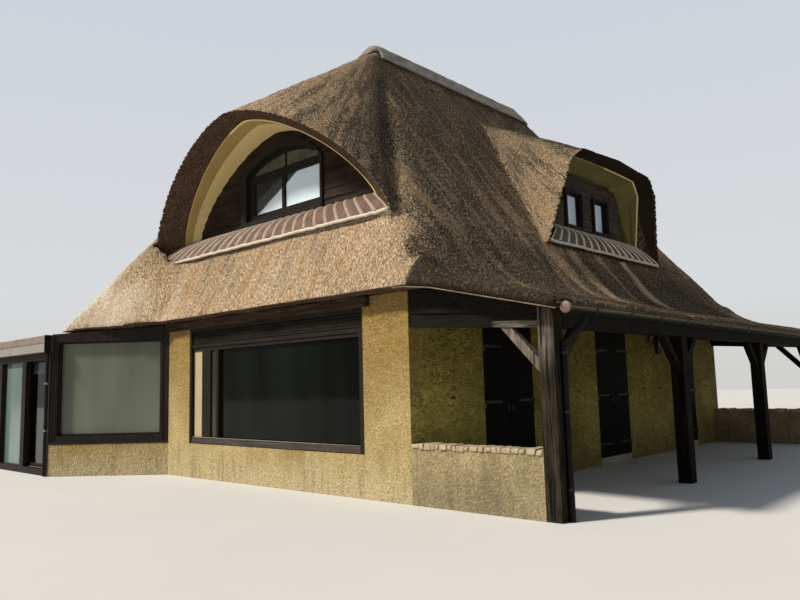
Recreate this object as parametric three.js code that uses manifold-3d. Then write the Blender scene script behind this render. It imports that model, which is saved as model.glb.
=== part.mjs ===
// A thatched cottage with an arched front dormer, a side dormer, a timber gallery and a flat-roofed annex.
// Millimetres, +Z up. X runs right along the front wall, Y runs back along the right wall.
// Dimensions are drawn from the outer corner of the front and right walls at the lowest ground, and the
// whole group is then shifted, so that the origin lies under the middle of that corner's masonry.

import * as THREE from 'three';
import { ConvexGeometry } from 'three/addons/geometries/ConvexGeometry.js';
import { mergeVertices } from 'three/addons/utils/BufferGeometryUtils.js';
import Module from 'manifold-3d';

const wasm = await Module();
wasm.setup();

// Driving dimensions

const GAP = 0.3;
const SLIVER = 0.05;
const TERRACE = 130;
const WALL = 300;
const WALL_TOP = TERRACE + 2820;
const FLOOR_THICKNESS = 220;

// The walls' outer faces, anticlockwise from the corner where the canted wall meets the front wall.
const CANT_CORNER = [-6460, 0];
const FRONT_CORNER = [0, 0];
const REAR_CORNER = [0, 11900];
const LEFT_REAR_CORNER = [-8350, 11900];
const LEFT_FRONT_CORNER = [-8350, -1550];
const FOOTPRINT = [CANT_CORNER, FRONT_CORNER, REAR_CORNER, LEFT_REAR_CORNER, LEFT_FRONT_CORNER];

// Front window and its roller shutter box
const WINDOW = { left: -5700, right: -920, sill: TERRACE + 500, head: TERRACE + 2680 };
const SHUTTER_HEIGHT = 380;
const SHUTTER_FACE = 30;
const SHUTTER_DEPTH = 200;
const HEAD_BOARD = { left: -6440, right: -760, foot: TERRACE + 2670, out: 90 };
const FRAME_FACE = 50;
const FRAME_DEPTH = 60;
const GLASS_THICKNESS = 24;
const SIDE_LIGHT = { left: -5060, right: -4880 };
const PANEL_STRIP = { left: -5640, right: -5340 };
const MAIN_PANE = { left: -4800, right: -1010 };
const SILL_RAIL = 110;
const TOP_RAIL = 60;

// Canted window
const CANT_SILL = TERRACE + 490;
const CANT_TOP_LEFT = TERRACE + 2700;
const CANT_TOP_RIGHT = TERRACE + 2810;
const CANT_NOTCH = 170;
const CANT_FRAME = { left: 150, right: 180, top: 170, bottom: 170 };

// Doorways on the gallery, each closed by two leaves
const DOORWAYS = [[1740, 3150], [5440, 6770], [9080, 10390]];
const DOOR_HEAD = TERRACE + 2470;
const LEAF_THICKNESS = 45;
const LEAF_PROUD = 2;
const LEAF_SIDE_GAP = 6;
const LEAF_MEETING_GAP = 10;
const LEAF_FOOT = TERRACE + 12;
const LEAF_HEAD_GAP = 12;
const PIN_RADIUS = 11;
const PIN_OUT = 12;
const KNUCKLE = 50;
const KNUCKLE_GAP = 0.5;
const STRAP_LENGTH = 480;
const STRAP_THICKNESS = 6;
const HINGE_HEIGHTS = [TERRACE + 230, TERRACE + 1170, TERRACE + 2050];

// Rear window, repeated on the unseen side
const REAR_WINDOW = { left: -5100, right: -3300, sill: TERRACE + 950, head: TERRACE + 2150 };
const REAR_FRAME_BAR = 80;

// Thatch: sections of the main hipped body from eave to ridge
const EAVE_SECTION = { z: WALL_TOP, left: -8800, right: 700, front: -350, rear: 12400, radius: 450 };
const KNEE_SECTION = { z: TERRACE + 4150, left: -7800, right: -260, front: 350, rear: 11700, radius: 600 };
const RIDGE_SECTION = { z: TERRACE + 8930, left: -4150, right: -3850, front: 3420, rear: 8960, radius: 149 };
const ATTIC_EAVE = { z: WALL_TOP, left: -8320, right: -30, front: 30, rear: 11870, radius: 200 };
const ATTIC_KNEE = { z: TERRACE + 4150, left: -7350, right: -700, front: 800, rear: 11250, radius: 300 };
const ATTIC_RIDGE = { z: TERRACE + 8330, left: -4120, right: -3880, front: 3600, rear: 8780, radius: 119 };
const RIDGE_FRONT = [-4000, 3480];
const RIDGE_REAR = [-4000, 8900];

// The thatch runs forward over the canted wall as a wing with its own hip
const WING_POINTS = [
  [-6400, -350, TERRACE + 2820], [-8300, -1470, TERRACE + 2712], [-8800, -600, TERRACE + 2820],
  [-8800, 1500, TERRACE + 2820], [-7900, -450, TERRACE + 3860], [-7400, 300, TERRACE + 4920],
  [-4100, 3600, TERRACE + 8900],
];
const WING_LIP = 60;
const WING_HOLLOW = [
  [-6600, 100, WALL_TOP + WING_LIP], [-8150, -1200, WALL_TOP + WING_LIP], [-8300, 0, WALL_TOP + WING_LIP],
  [-8300, 1500, WALL_TOP + WING_LIP], [-7700, -100, TERRACE + 3300], [-7100, 750, TERRACE + 4200],
  [-4100, 3900, TERRACE + 8000],
];
const LEFT_WALL_DROP = { y: -540, foot: TERRACE + 2695 };

// The thatch over the gallery, as its section across the slope
const GALLERY_THATCH = [
  [320, TERRACE + 3360], [600, TERRACE + 3060], [950, TERRACE + 2880], [1400, TERRACE + 2760],
  [2000, TERRACE + 2620], [2560, TERRACE + 2470], [2560, TERRACE + 2310], [2500, TERRACE + 2310],
  [700, TERRACE + 2740], [250, TERRACE + 2820],
];

// Gallery posts, braces, beams and parapets
const POST = 210;
const POST_INNER = 2090;
const POST_OUTER = POST_INNER + POST;
const POST_CENTRES = [105, 4000, 7950, 11795];
const BEAM_FOOT = TERRACE + 2150;
const BRACE_REACH = 680;
const BRACE_DROP = 160;
const BRACE_THICKNESS = 110;
const END_BEAM_FOOT_AT_WALL = TERRACE + 2300;
const END_BEAM_THICKNESS = 150;
const END_BEAM_INSET = 30;
const PARAPET_TOP = TERRACE + 680;
const PARAPET_THICKNESS = 250;

// Gutter and downpipe
const GUTTER_RADIUS = 72;
const GUTTER_WALL = 6;
const GUTTER_FRONT = -260;
const GUTTER_REAR = 12300;
const PIPE_RADIUS = 40;
const PIPE_Y = 160;

// Wall lantern
const LANTERN = { y: 7930, out: 190, foot: TERRACE + 2030, height: 470, radius: 120 };

// Annex
const ANNEX_LEFT = -12600;
const ANNEX_REAR = 2350;
const ANNEX_WALL = 150;
const ANNEX_ROOF = { foot: TERRACE + 2350, top: TERRACE + 2672, overhang: 120 };
const ANNEX_FRAME_DEPTH = 100;
const ANNEX_POSTS = [[-12600, -12450], [-11250, -11050], [-9850, -9650], [-8500, -8350]];
const ANNEX_HEAD_RAIL = 150;
const ANNEX_SHEET = 20;
const ANNEX_PANEL = { left: -9690, right: -8460, thickness: 40, clearance: 6 };

// Dormers: the outer edge of the thatch, the inner edge where the plaster starts, and the boarding.
// half is half the width, rise the height, depth the way in from the outer edge's foot.
const FRONT_DORMER = {
  outer: { half: 3475, rise: 2401, power: 1.546, depth: 0, base: 0, lean: 0.276 },
  inner: { half: 2876, rise: 2033, power: 1.449, depth: 357, base: 316, lean: 0.276 },
  board: { half: 2610, rise: 1723, power: 1.54, depth: 558, base: 522, lean: 0 },
};
const SIDE_DORMER = {
  outer: { half: 2450, top: 1830, rise: 1900, crown: 110, depth: 0, base: 0, lean: 0.157 },
  inner: { half: 1850, top: 1660, rise: 1590, crown: 40, depth: 290, base: 285, lean: 0.157 },
  board: { half: 1810, top: 1450, rise: 1240, crown: 20, depth: 520, base: 540, lean: 0 },
};
const FRONT_DORMER_FOOT = [-4000, 264, TERRACE + 4136];
const SIDE_DORMER_FOOT = [-100, 6550, TERRACE + 4100];
const FRONT_DORMER_BACK = { half: 250, depth: 3216, up: 4764 };
const SIDE_DORMER_BACK = { half: 500, depth: 2900, up: 3600 };
const PLASTER = 25;
const BOARDING = 50;
const STRIP_SEAT = 60;
const STRIP_EDGE = 0.03;
const RIM = 2;
const LINING_FOOT = 10;
const STRIP_BULGE = 95;
const ARCH_STEPS = 28;
const CORNER_CUT = 0.16;
const RIDGE_CAP = { foot: TERRACE + 8560, top: TERRACE + 9030, half: 480, front: 3050, rear: 9330 };

// Windows in the dormers
const ARCH_WINDOW = { left: -5120, right: -2660, sill: 20, spring: 980, crown: 1560 };
const ARCH_BAR = 90;
const SIDE_WINDOWS = [[5600, 6320], [6780, 7500]];
const SIDE_WINDOW = { sill: 20, head: 860, bar: 60 };
const SILL_BOARD = 30;

// Colours as red, green and blue shares, with how rough and how metallic each finish is
const FINISHES = {
  thatch: [[0.42, 0.32, 0.2], 0.95, 0],
  render: [[0.66, 0.52, 0.27], 0.9, 0],
  plaster: [[0.85, 0.72, 0.42], 0.85, 0],
  mortar: [[0.55, 0.53, 0.48], 0.9, 0],
  timber: [[0.16, 0.11, 0.08], 0.8, 0],
  frame: [[0.07, 0.05, 0.04], 0.55, 0],
  door: [[0.06, 0.04, 0.03], 0.6, 0],
  glass: [[0.25, 0.3, 0.28], 0.08, 0],
  tile: [[0.45, 0.2, 0.13], 0.8, 0],
  floor: [[0.5, 0.47, 0.42], 0.9, 0],
  gutter: [[0.3, 0.32, 0.25], 0.5, 0.6],
  iron: [[0.05, 0.05, 0.05], 0.6, 0.4],
  fascia: [[0.55, 0.54, 0.52], 0.7, 0],
};

// Geometry helpers

const axes = {
  x: [new THREE.Vector3(0, 1, 0), new THREE.Vector3(0, 0, 1), new THREE.Vector3(1, 0, 0)],
  y: [new THREE.Vector3(1, 0, 0), new THREE.Vector3(0, 0, 1), new THREE.Vector3(0, -1, 0)],
  z: [new THREE.Vector3(1, 0, 0), new THREE.Vector3(0, 1, 0), new THREE.Vector3(0, 0, 1)],
};

function solidOf(geometry) {
  const bare = geometry.clone();
  bare.deleteAttribute('normal');
  bare.deleteAttribute('uv');
  const merged = mergeVertices(bare, 0.01);
  return new wasm.Manifold(new wasm.Mesh({
    numProp: 3,
    vertProperties: new Float32Array(merged.attributes.position.array),
    triVerts: new Uint32Array(merged.index.array),
  }));
}

function geometryOf(solid) {
  const mesh = solid.simplify(SLIVER).getMesh();
  const geometry = new THREE.BufferGeometry();
  geometry.setAttribute('position', new THREE.BufferAttribute(mesh.vertProperties, 3));
  geometry.setIndex(new THREE.BufferAttribute(mesh.triVerts, 1));
  geometry.computeVertexNormals();
  return geometry;
}

// A prism whose outline is drawn across one axis: (y, z) for x, (x, z) for y, (x, y) for z.
function prism(axis, outline, from, to) {
  const shape = new THREE.Shape(outline.map(([a, b]) => new THREE.Vector2(a, b)));
  const geometry = new THREE.ExtrudeGeometry(shape, { depth: to - from, bevelEnabled: false });
  const [right, up, along] = axes[axis];
  const start = along.clone().multiplyScalar(axis === 'y' ? -to : from);
  geometry.applyMatrix4(new THREE.Matrix4().makeBasis(right, up, along).setPosition(start));
  return geometry;
}

function box([x0, x1], [y0, y1], [z0, z1]) {
  const geometry = new THREE.BoxGeometry(x1 - x0, y1 - y0, z1 - z0);
  return geometry.translate((x0 + x1) / 2, (y0 + y1) / 2, (z0 + z1) / 2);
}

function rectangle(a0, a1, b0, b1) {
  return [[a0, b0], [a1, b0], [a1, b1], [a0, b1]];
}

function hullSolid(points) {
  return solidOf(new ConvexGeometry(points.map((p) => (p.isVector3 ? p : new THREE.Vector3(...p)))));
}

function join(solids) {
  return solids.reduce((sum, solid) => sum.add(solid));
}

// A frame: a prism with openings right through it.
function pierced(axis, outline, from, to, holes) {
  const openings = join(holes.map((hole) => solidOf(prism(axis, hole, from - 10, to + 10))));
  return solidOf(prism(axis, outline, from, to)).subtract(openings);
}

// Each corner of a closed outline moved in by the same distance from both its sides.
function insetOutline(outline, distance) {
  return outline.map((corner, i) => {
    const before = outline[(i + outline.length - 1) % outline.length];
    const after = outline[(i + 1) % outline.length];
    const into = new THREE.Vector2(corner[0] - before[0], corner[1] - before[1]).normalize();
    const out = new THREE.Vector2(after[0] - corner[0], after[1] - corner[1]).normalize();
    const scale = distance / (1 + into.dot(out));
    return [corner[0] - (into.y + out.y) * scale, corner[1] + (into.x + out.x) * scale];
  });
}

// The scene

const cottage = new THREE.Group();
cottage.position.set(WALL / 2, -WALL / 2, 0);

function add(name, finish, shape, parent = cottage) {
  const [colour, roughness, metalness] = FINISHES[finish];
  const material = new THREE.MeshStandardMaterial({ roughness, metalness });
  material.color.setRGB(...colour);
  const mesh = new THREE.Mesh(shape.isBufferGeometry ? shape : geometryOf(shape), material);
  mesh.name = name;
  parent.add(mesh);
  return mesh;
}

// Floors

function makeFloors() {
  const inside = insetOutline(FOOTPRINT, WALL + GAP);
  const thresholds = DOORWAYS.map(([low, high]) => (
    solidOf(box([-WALL - 10, -2], [low + GAP, high - GAP], [0, TERRACE]))
  ));
  add('ground_floor', 'floor', join([solidOf(prism('z', inside, 0, TERRACE)), ...thresholds]));
  add('attic_floor', 'floor', prism('z', inside, WALL_TOP - FLOOR_THICKNESS, WALL_TOP - GAP));
}

// Walls

// The canted wall's own frame of reference: along the wall from its left end, and in from its face.
const cantRun = new THREE.Vector2(CANT_CORNER[0] - LEFT_FRONT_CORNER[0], CANT_CORNER[1] - LEFT_FRONT_CORNER[1]);

// The neighbouring walls give way to the canted window above its sill.
function cantNotch(less) {
  const block = box([-100, cantRun.length() + GAP - less], [-100, CANT_NOTCH - less], [CANT_SILL, WALL_TOP + 10]);
  block.rotateZ(cantRun.angle()).translate(...LEFT_FRONT_CORNER, 0);
  return solidOf(block);
}

// Walls meet in mitres, but the front wall takes the whole of the corner at the gallery.
function wall(index, top = WALL_TOP - GAP, inset = GAP / 2) {
  const next = (index + 1) % FOOTPRINT.length;
  const inner = insetOutline(FOOTPRINT, WALL);
  const turn = [FRONT_CORNER[0], WALL];
  const start = index === 1 ? turn : FOOTPRINT[index];
  const end = index === 0 ? turn : inner[next];
  const outline = insetOutline([start, FOOTPRINT[next], end, inner[index]], inset);
  return solidOf(prism('z', outline, 0, top)).subtract(cantNotch(GAP / 2 - inset));
}

// The left wall dips at its front end, under the low tip of the thatch.
function leftWallShape(top) {
  const { y, foot } = LEFT_WALL_DROP;
  const front = LEFT_FRONT_CORNER[1] - 10;
  const rear = LEFT_REAR_CORNER[1] + 10;
  const outline = [[front, 0], [rear, 0], [rear, top], [y, top], [front, top - WALL_TOP + foot]];
  return solidOf(prism('x', outline, LEFT_FRONT_CORNER[0] - 10, LEFT_FRONT_CORNER[0] + WALL + 300));
}

// The wall's half of each hinge: a knuckle and the plate that holds it to the wall's face.
function wallKnuckles(jamb, side) {
  return join(HINGE_HEIGHTS.map((height) => {
    const pin = new THREE.CylinderGeometry(PIN_RADIUS, PIN_RADIUS, KNUCKLE, 12);
    pin.rotateX(Math.PI / 2).translate(PIN_OUT, jamb, height - KNUCKLE / 2);
    const reach = [jamb, jamb - side * 90].sort((a, b) => a - b);
    return solidOf(pin).add(solidOf(box([-8, STRAP_THICKNESS], reach, [height - KNUCKLE, height])));
  }));
}

function makeWalls() {
  const hole = solidOf(box([WINDOW.left, WINDOW.right], [-50, WALL + 50], [WINDOW.sill, WINDOW.head]));
  add('front_wall', 'render', wall(0).subtract(hole));

  const right = wall(1);
  const edges = [-50, ...DOORWAYS.flat(), REAR_CORNER[1] + 50];
  for (let i = 0; i < edges.length; i += 2) {
    const low = edges[i];
    const high = edges[i + 1];
    const cut = solidOf(box([-WALL - 50, 50], [low, high], [-50, DOOR_HEAD]));
    const knuckles = [];
    if (i > 0) knuckles.push(wallKnuckles(low, -1));
    if (i + 2 < edges.length) knuckles.push(wallKnuckles(high, 1));
    add(`right_wall_${i / 2 + 1}`, 'render', join([right.intersect(cut), ...knuckles]));
  }
  const over = solidOf(box([-WALL - 50, 50], [-50, REAR_CORNER[1] + 50], [DOOR_HEAD + GAP, WALL_TOP]));
  add('right_wall_head', 'render', right.intersect(over));

  const rearHole = box([REAR_WINDOW.left, REAR_WINDOW.right], [REAR_CORNER[1] - WALL - 50, REAR_CORNER[1] + 50],
    [REAR_WINDOW.sill, REAR_WINDOW.head]);
  add('rear_wall', 'render', wall(2).subtract(solidOf(rearHole)));
  add('left_wall', 'render', wall(3).intersect(leftWallShape(WALL_TOP - GAP)));
  add('cant_wall', 'render', wall(4, CANT_SILL));
}

// Windows

function makeFrontWindow() {
  const frameTop = WINDOW.head - SHUTTER_HEIGHT;
  const foot = WINDOW.sill + SILL_RAIL;
  const holes = [PANEL_STRIP, SIDE_LIGHT, MAIN_PANE].map(({ left, right }) => (
    rectangle(left, right, foot, frameTop - TOP_RAIL)
  ));
  const outline = rectangle(WINDOW.left + GAP, WINDOW.right - GAP, WINDOW.sill + GAP, frameTop - GAP);
  add('front_window_frame', 'frame', pierced('y', outline, FRAME_FACE, FRAME_FACE + FRAME_DEPTH, holes));
  const glassFace = FRAME_FACE + FRAME_DEPTH + GAP;
  add('front_window_glass', 'glass', box([PANEL_STRIP.left - 20, MAIN_PANE.right + 20],
    [glassFace, glassFace + GLASS_THICKNESS], [foot - 20, frameTop - TOP_RAIL + 20]));

  // The shutter's box hangs on a board that runs along the wall's head, under the eave.
  const within = [WINDOW.left + GAP, WINDOW.right - GAP];
  const casing = box(within, [SHUTTER_FACE, SHUTTER_FACE + SHUTTER_DEPTH], [frameTop, WINDOW.head - GAP]);
  const board = box([HEAD_BOARD.left, HEAD_BOARD.right], [-HEAD_BOARD.out, -GAP], [HEAD_BOARD.foot, WALL_TOP - GAP]);
  const tongue = box(within, [-HEAD_BOARD.out, SHUTTER_FACE + 10], [HEAD_BOARD.foot, WINDOW.head - GAP]);
  add('shutter_box', 'frame', join([casing, board, tongue].map(solidOf)));
}

function makeCantWindow() {
  const length = cantRun.length();
  const bay = new THREE.Group();
  bay.position.set(...LEFT_FRONT_CORNER, 0);
  bay.rotation.z = cantRun.angle();
  cottage.add(bay);

  const slope = (CANT_TOP_RIGHT - CANT_TOP_LEFT) / length;
  const topAt = (x) => CANT_TOP_LEFT + slope * x - GAP;
  const [left, right] = [2, length - 2];
  const pane = [
    [CANT_FRAME.left, CANT_SILL + CANT_FRAME.bottom],
    [length - CANT_FRAME.right, CANT_SILL + CANT_FRAME.bottom],
    [length - CANT_FRAME.right, topAt(0) - CANT_FRAME.top],
    [CANT_FRAME.left, topAt(0) - CANT_FRAME.top],
  ];
  const outline = [[left, CANT_SILL + GAP], [right, CANT_SILL + GAP], [right, topAt(right)], [left, topAt(left)]];
  const face = 10;
  const beyondCorner = box([-500, 2], [-500, 500], [0, WALL_TOP]).rotateZ(-cantRun.angle());
  const frame = pierced('y', outline, face, face + FRAME_DEPTH * 2, [pane]).subtract(solidOf(beyondCorner));
  add('cant_window_frame', 'frame', frame, bay);
  const glassFace = face + FRAME_DEPTH * 2 + GAP;
  add('cant_window_glass', 'glass', box([CANT_FRAME.left - 20, length - CANT_FRAME.right + 20],
    [glassFace, glassFace + GLASS_THICKNESS],
    [CANT_SILL + CANT_FRAME.bottom - 20, topAt(0) - CANT_FRAME.top + 20]), bay);
}

function makeRearWindow() {
  const { left, right, sill, head } = REAR_WINDOW;
  const middle = (left + right) / 2;
  const holes = [[left, middle - REAR_FRAME_BAR / 2], [middle + REAR_FRAME_BAR / 2, right]].map(([a, b]) => (
    rectangle(a === left ? a + REAR_FRAME_BAR : a, b === right ? b - REAR_FRAME_BAR : b,
      sill + REAR_FRAME_BAR, head - REAR_FRAME_BAR)
  ));
  const face = REAR_CORNER[1] - FRAME_FACE;
  const outline = rectangle(left + GAP, right - GAP, sill + GAP, head - GAP);
  add('rear_window_frame', 'frame', pierced('y', outline, face - FRAME_DEPTH, face, holes));
  const back = face - FRAME_DEPTH - GAP;
  add('rear_window_glass', 'glass', box([left + 30, right - 30], [back - GLASS_THICKNESS, back],
    [sill + 30, head - 30]));
}

// Door leaves, one pair to each doorway

function makeDoors() {
  DOORWAYS.forEach(([low, high], i) => {
    const middle = (low + high) / 2;
    for (const [side, jamb, word] of [[1, low, 'left'], [-1, high, 'right']]) {
      const ends = (a, b) => [jamb + side * a, jamb + side * b].sort((p, q) => p - q);
      const width = Math.abs(middle - jamb) - LEAF_MEETING_GAP / 2;
      const slab = box([LEAF_PROUD - LEAF_THICKNESS, LEAF_PROUD], ends(LEAF_SIDE_GAP, width),
        [LEAF_FOOT, DOOR_HEAD - LEAF_HEAD_GAP]);
      const straps = HINGE_HEIGHTS.map((height) => {
        const foot = height + KNUCKLE_GAP;
        const pin = new THREE.CylinderGeometry(PIN_RADIUS, PIN_RADIUS, KNUCKLE, 12);
        pin.rotateX(Math.PI / 2).translate(PIN_OUT, jamb, foot + KNUCKLE / 2);
        const strap = box([0.5, LEAF_PROUD + STRAP_THICKNESS], ends(1, STRAP_LENGTH), [foot, foot + KNUCKLE]);
        return solidOf(pin).add(solidOf(strap));
      });
      add(`door_${i + 1}_${word}_leaf`, 'door', join([solidOf(slab), ...straps]));
    }
  });
}

// Roof solids

function roundedSection({ z, left, right, front, rear, radius }, grow = 0) {
  const corners = [[right, front, -90], [right, rear, 0], [left, rear, 90], [left, front, 180]];
  return corners.flatMap(([x, y, start]) => {
    const cx = x + (x === right ? -radius : radius);
    const cy = y + (y === rear ? -radius : radius);
    return [0, 1, 2, 3, 4].map((step) => {
      const angle = THREE.MathUtils.degToRad(start + step * 22.5);
      return new THREE.Vector3(cx + (radius + grow) * Math.cos(angle), cy + (radius + grow) * Math.sin(angle), z);
    });
  });
}

function mainBody(grow = 0) {
  const ridge = { ...RIDGE_SECTION, z: RIDGE_SECTION.z + grow };
  const eave = { ...EAVE_SECTION, z: EAVE_SECTION.z - grow };
  return hullSolid([eave, KNEE_SECTION, ridge].flatMap((section) => roundedSection(section, grow)));
}

function atticHollow() {
  const below = { ...ATTIC_EAVE, z: ATTIC_EAVE.z - 10 };
  const sections = [below, ATTIC_KNEE, ATTIC_RIDGE].flatMap((section) => roundedSection(section));
  return hullSolid(sections).add(hullSolid(WING_HOLLOW));
}

// An edge curve of a dormer, as [along, depth, up] from the dormer's foot.
function edgeCurve(edge, grow = 0) {
  const half = edge.half + grow;
  const rise = edge.rise + grow;
  const place = ([along, height]) => [
    along, edge.depth - height * Math.sin(edge.lean), edge.base + height * Math.cos(edge.lean),
  ];
  if (edge.power) {
    const angles = Array.from({ length: ARCH_STEPS + 1 }, (_, step) => Math.PI * step / ARCH_STEPS);
    const bend = (value) => Math.sign(value) * Math.abs(value) ** (2 / edge.power);
    return angles.map((a) => place([half * bend(Math.cos(a)), rise * bend(Math.abs(Math.sin(a)))]));
  }
  const top = edge.top + grow;
  const shoulder = top + (half - top) * CORNER_CUT;
  const right = [[half, 0], [shoulder, rise * (1 - CORNER_CUT)], [top * (1 - CORNER_CUT), rise + edge.crown * 0.3]];
  const left = right.map(([along, height]) => [-along, height]).reverse();
  return [...right, [0, rise + edge.crown], ...left].map(place);
}

function shifted(curve, depth, up) {
  return curve.map(([along, d, u]) => [along, d + depth, u + up]);
}

// The curve with its two feet run down by a drop.
function footed(curve, drop) {
  return [...curve, ...shifted([curve[0], curve[curve.length - 1]], 0, -drop)];
}

// A curve carried on past a second curve, away from a third.
function beyond(curve, from, share) {
  return curve.map((point, i) => point.map((value, k) => value + (value - from[i][k]) * share));
}

const DORMERS = {
  front: {
    edges: FRONT_DORMER,
    back: FRONT_DORMER_BACK,
    place: ([along, depth, up]) => new THREE.Vector3(
      FRONT_DORMER_FOOT[0] + along, FRONT_DORMER_FOOT[1] + depth, FRONT_DORMER_FOOT[2] + up,
    ),
  },
  side: {
    edges: SIDE_DORMER,
    back: SIDE_DORMER_BACK,
    place: ([along, depth, up]) => new THREE.Vector3(
      SIDE_DORMER_FOOT[0] - depth, SIDE_DORMER_FOOT[1] + along, SIDE_DORMER_FOOT[2] + up,
    ),
  },
};

function dormerHull({ place }, ...curves) {
  return hullSolid(curves.flat().map(place));
}

// The whole outer form of a dormer, from its leaning mouth back to where it dies into the roof.
function dormerBody(dormer, grow = 0) {
  const curve = footed(shifted(edgeCurve(dormer.edges.outer, grow), -grow * 2, 0), grow * 2);
  const feet = shifted([curve[0], curve[curve.length - 3]], 700 + grow * 4, -500 - grow * 4).map(dormer.place);
  const { half, depth, up } = dormer.back;
  const back = rectangle(-half - grow * 2, half + grow * 2, up - grow * 2, up + grow * 2)
    .map(([along, height]) => dormer.place([along, depth + grow * 2, height]));
  return hullSolid([...curve.map(dormer.place), ...feet, ...back]);
}

// The bevelled opening in the thatch, from ahead of its outer edge to just behind its inner edge.
function dormerMouth(dormer, grow = 0) {
  const outer = edgeCurve(dormer.edges.outer, grow - RIM);
  const inner = edgeCurve(dormer.edges.inner, grow);
  const ahead = beyond(outer, inner, 0.15);
  const behind = beyond(inner, outer, 0.06);
  return dormerHull(dormer, footed(ahead, STRIP_SEAT), footed(behind, STRIP_SEAT));
}

// The lined part of the opening, from its inner edge back to the boarding.
function dormerLining(dormer, grow, drop, reach = 0) {
  const inner = edgeCurve(dormer.edges.inner, grow);
  const board = edgeCurve(dormer.edges.board, grow);
  return dormerHull(dormer, footed(beyond(inner, board, reach), drop), footed(beyond(board, inner, reach), drop));
}

// The room behind the boarding, open to the attic.
function dormerChamber(dormer) {
  const curve = footed(edgeCurve(dormer.edges.board, PLASTER + GAP), STRIP_SEAT + GAP);
  const deep = dormer.hollow.map((point) => new THREE.Vector3(...point));
  return hullSolid([...curve.map(dormer.place), ...shifted(curve, 80, 0).map(dormer.place), ...deep]);
}

DORMERS.front.hollow = [
  [-6300, 2600, TERRACE + 3400], [-1700, 2600, TERRACE + 3400],
  [-4700, 3500, TERRACE + 7600], [-3300, 3500, TERRACE + 7600],
];
DORMERS.side.hollow = [
  [-2400, 5000, TERRACE + 3400], [-2400, 8100, TERRACE + 3400],
  [-3000, 6100, TERRACE + 6900], [-3000, 7000, TERRACE + 6900],
];

// Thatch: the outer form less the attic, shared out between the four slopes and the two dormers.

function galleryThatch(grow = 0) {
  const outline = grow ? insetOutline([...GALLERY_THATCH].reverse(), -grow) : GALLERY_THATCH;
  const far = grow ? 1000 : 0;
  const run = solidOf(prism('y', outline, EAVE_SECTION.front - far, EAVE_SECTION.rear + far));
  if (grow) return run;
  const wide = { left: -9000, right: 4000, radius: 150 };
  const trim = [{ ...EAVE_SECTION, ...wide, z: 0 }, { ...EAVE_SECTION, ...wide }, { ...KNEE_SECTION, ...wide }];
  return run.intersect(hullSolid(trim.flatMap((section) => roundedSection(section))));
}

// Slope areas in plan, meeting along the hips and the ridge.
function slopeAreas() {
  const carry = (from, to) => [from[0] + (to[0] - from[0]) * 3, from[1] + (to[1] - from[1]) * 3];
  const frontRight = carry(RIDGE_FRONT, [EAVE_SECTION.right, EAVE_SECTION.front]);
  const frontLeft = carry(RIDGE_FRONT, [EAVE_SECTION.left, EAVE_SECTION.front - 1000]);
  const rearRight = carry(RIDGE_REAR, [EAVE_SECTION.right, EAVE_SECTION.rear]);
  const rearLeft = carry(RIDGE_REAR, [EAVE_SECTION.left, EAVE_SECTION.rear]);
  return {
    thatch_front: [RIDGE_FRONT, frontLeft, frontRight],
    thatch_right: [RIDGE_FRONT, frontRight, rearRight, RIDGE_REAR],
    thatch_rear: [RIDGE_REAR, rearRight, rearLeft],
    thatch_left: [RIDGE_FRONT, RIDGE_REAR, rearLeft, frontLeft],
  };
}

function largest(solid) {
  return solid.decompose().reduce((best, piece) => (piece.volume() > best.volume() ? piece : best));
}

// Everything under the thatch that it rests on, with the room left over the attic floor.
function thatchSeat() {
  const over = solidOf(prism('z', insetOutline(FOOTPRINT, WALL), 0, WALL_TOP + WING_LIP + 10));
  const walls = [0, 1, 2].map((index) => wall(index, WALL_TOP, -GAP / 2));
  const left = wall(3, WALL_TOP, -GAP / 2).intersect(leftWallShape(WALL_TOP));
  return join([over, ...walls, left]);
}

function makeThatch() {
  const attic = join([atticHollow(), dormerChamber(DORMERS.front), dormerChamber(DORMERS.side)]);
  const cuts = Object.values(DORMERS).map((dormer) => (
    dormerMouth(dormer).add(dormerLining(dormer, PLASTER + GAP, STRIP_SEAT + GAP))
  ));
  const hollow = join([attic, ...cuts]);
  const body = mainBody().add(hullSolid(WING_POINTS)).subtract(join([hollow, thatchSeat(), galleryThatch(GAP)]));
  const slopes = join(Object.values(DORMERS).map((dormer) => dormerBody(dormer, GAP)));
  const shell = body.subtract(slopes);
  for (const [name, area] of Object.entries(slopeAreas())) {
    const wedge = solidOf(prism('z', insetOutline(area, GAP / 2), -100, 12000));
    add(name, 'thatch', largest(shell.intersect(wedge)));
  }
  add('thatch_gallery', 'thatch', galleryThatch());
  for (const [word, dormer] of Object.entries(DORMERS)) {
    const other = dormer === DORMERS.front ? DORMERS.side : DORMERS.front;
    const form = dormerBody(dormer).subtract(hollow).subtract(galleryThatch(GAP));
    add(`${word}_dormer_thatch`, 'thatch', largest(form.subtract(dormerBody(other, GAP))));
  }
}

function makeRidge() {
  const foot = { ...RIDGE_SECTION, z: RIDGE_CAP.foot, left: -4000 - RIDGE_CAP.half, right: -4000 + RIDGE_CAP.half };
  const top = { ...RIDGE_SECTION, z: RIDGE_CAP.top };
  const low = { ...foot, front: RIDGE_CAP.front, rear: RIDGE_CAP.rear, radius: 300 };
  const form = hullSolid([...roundedSection(low), ...roundedSection(top, 20)]);
  const under = mainBody(GAP).add(dormerBody(DORMERS.front, GAP));
  add('ridge_cap', 'mortar', largest(form.subtract(under)));
}

// Dormer fillings

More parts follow.
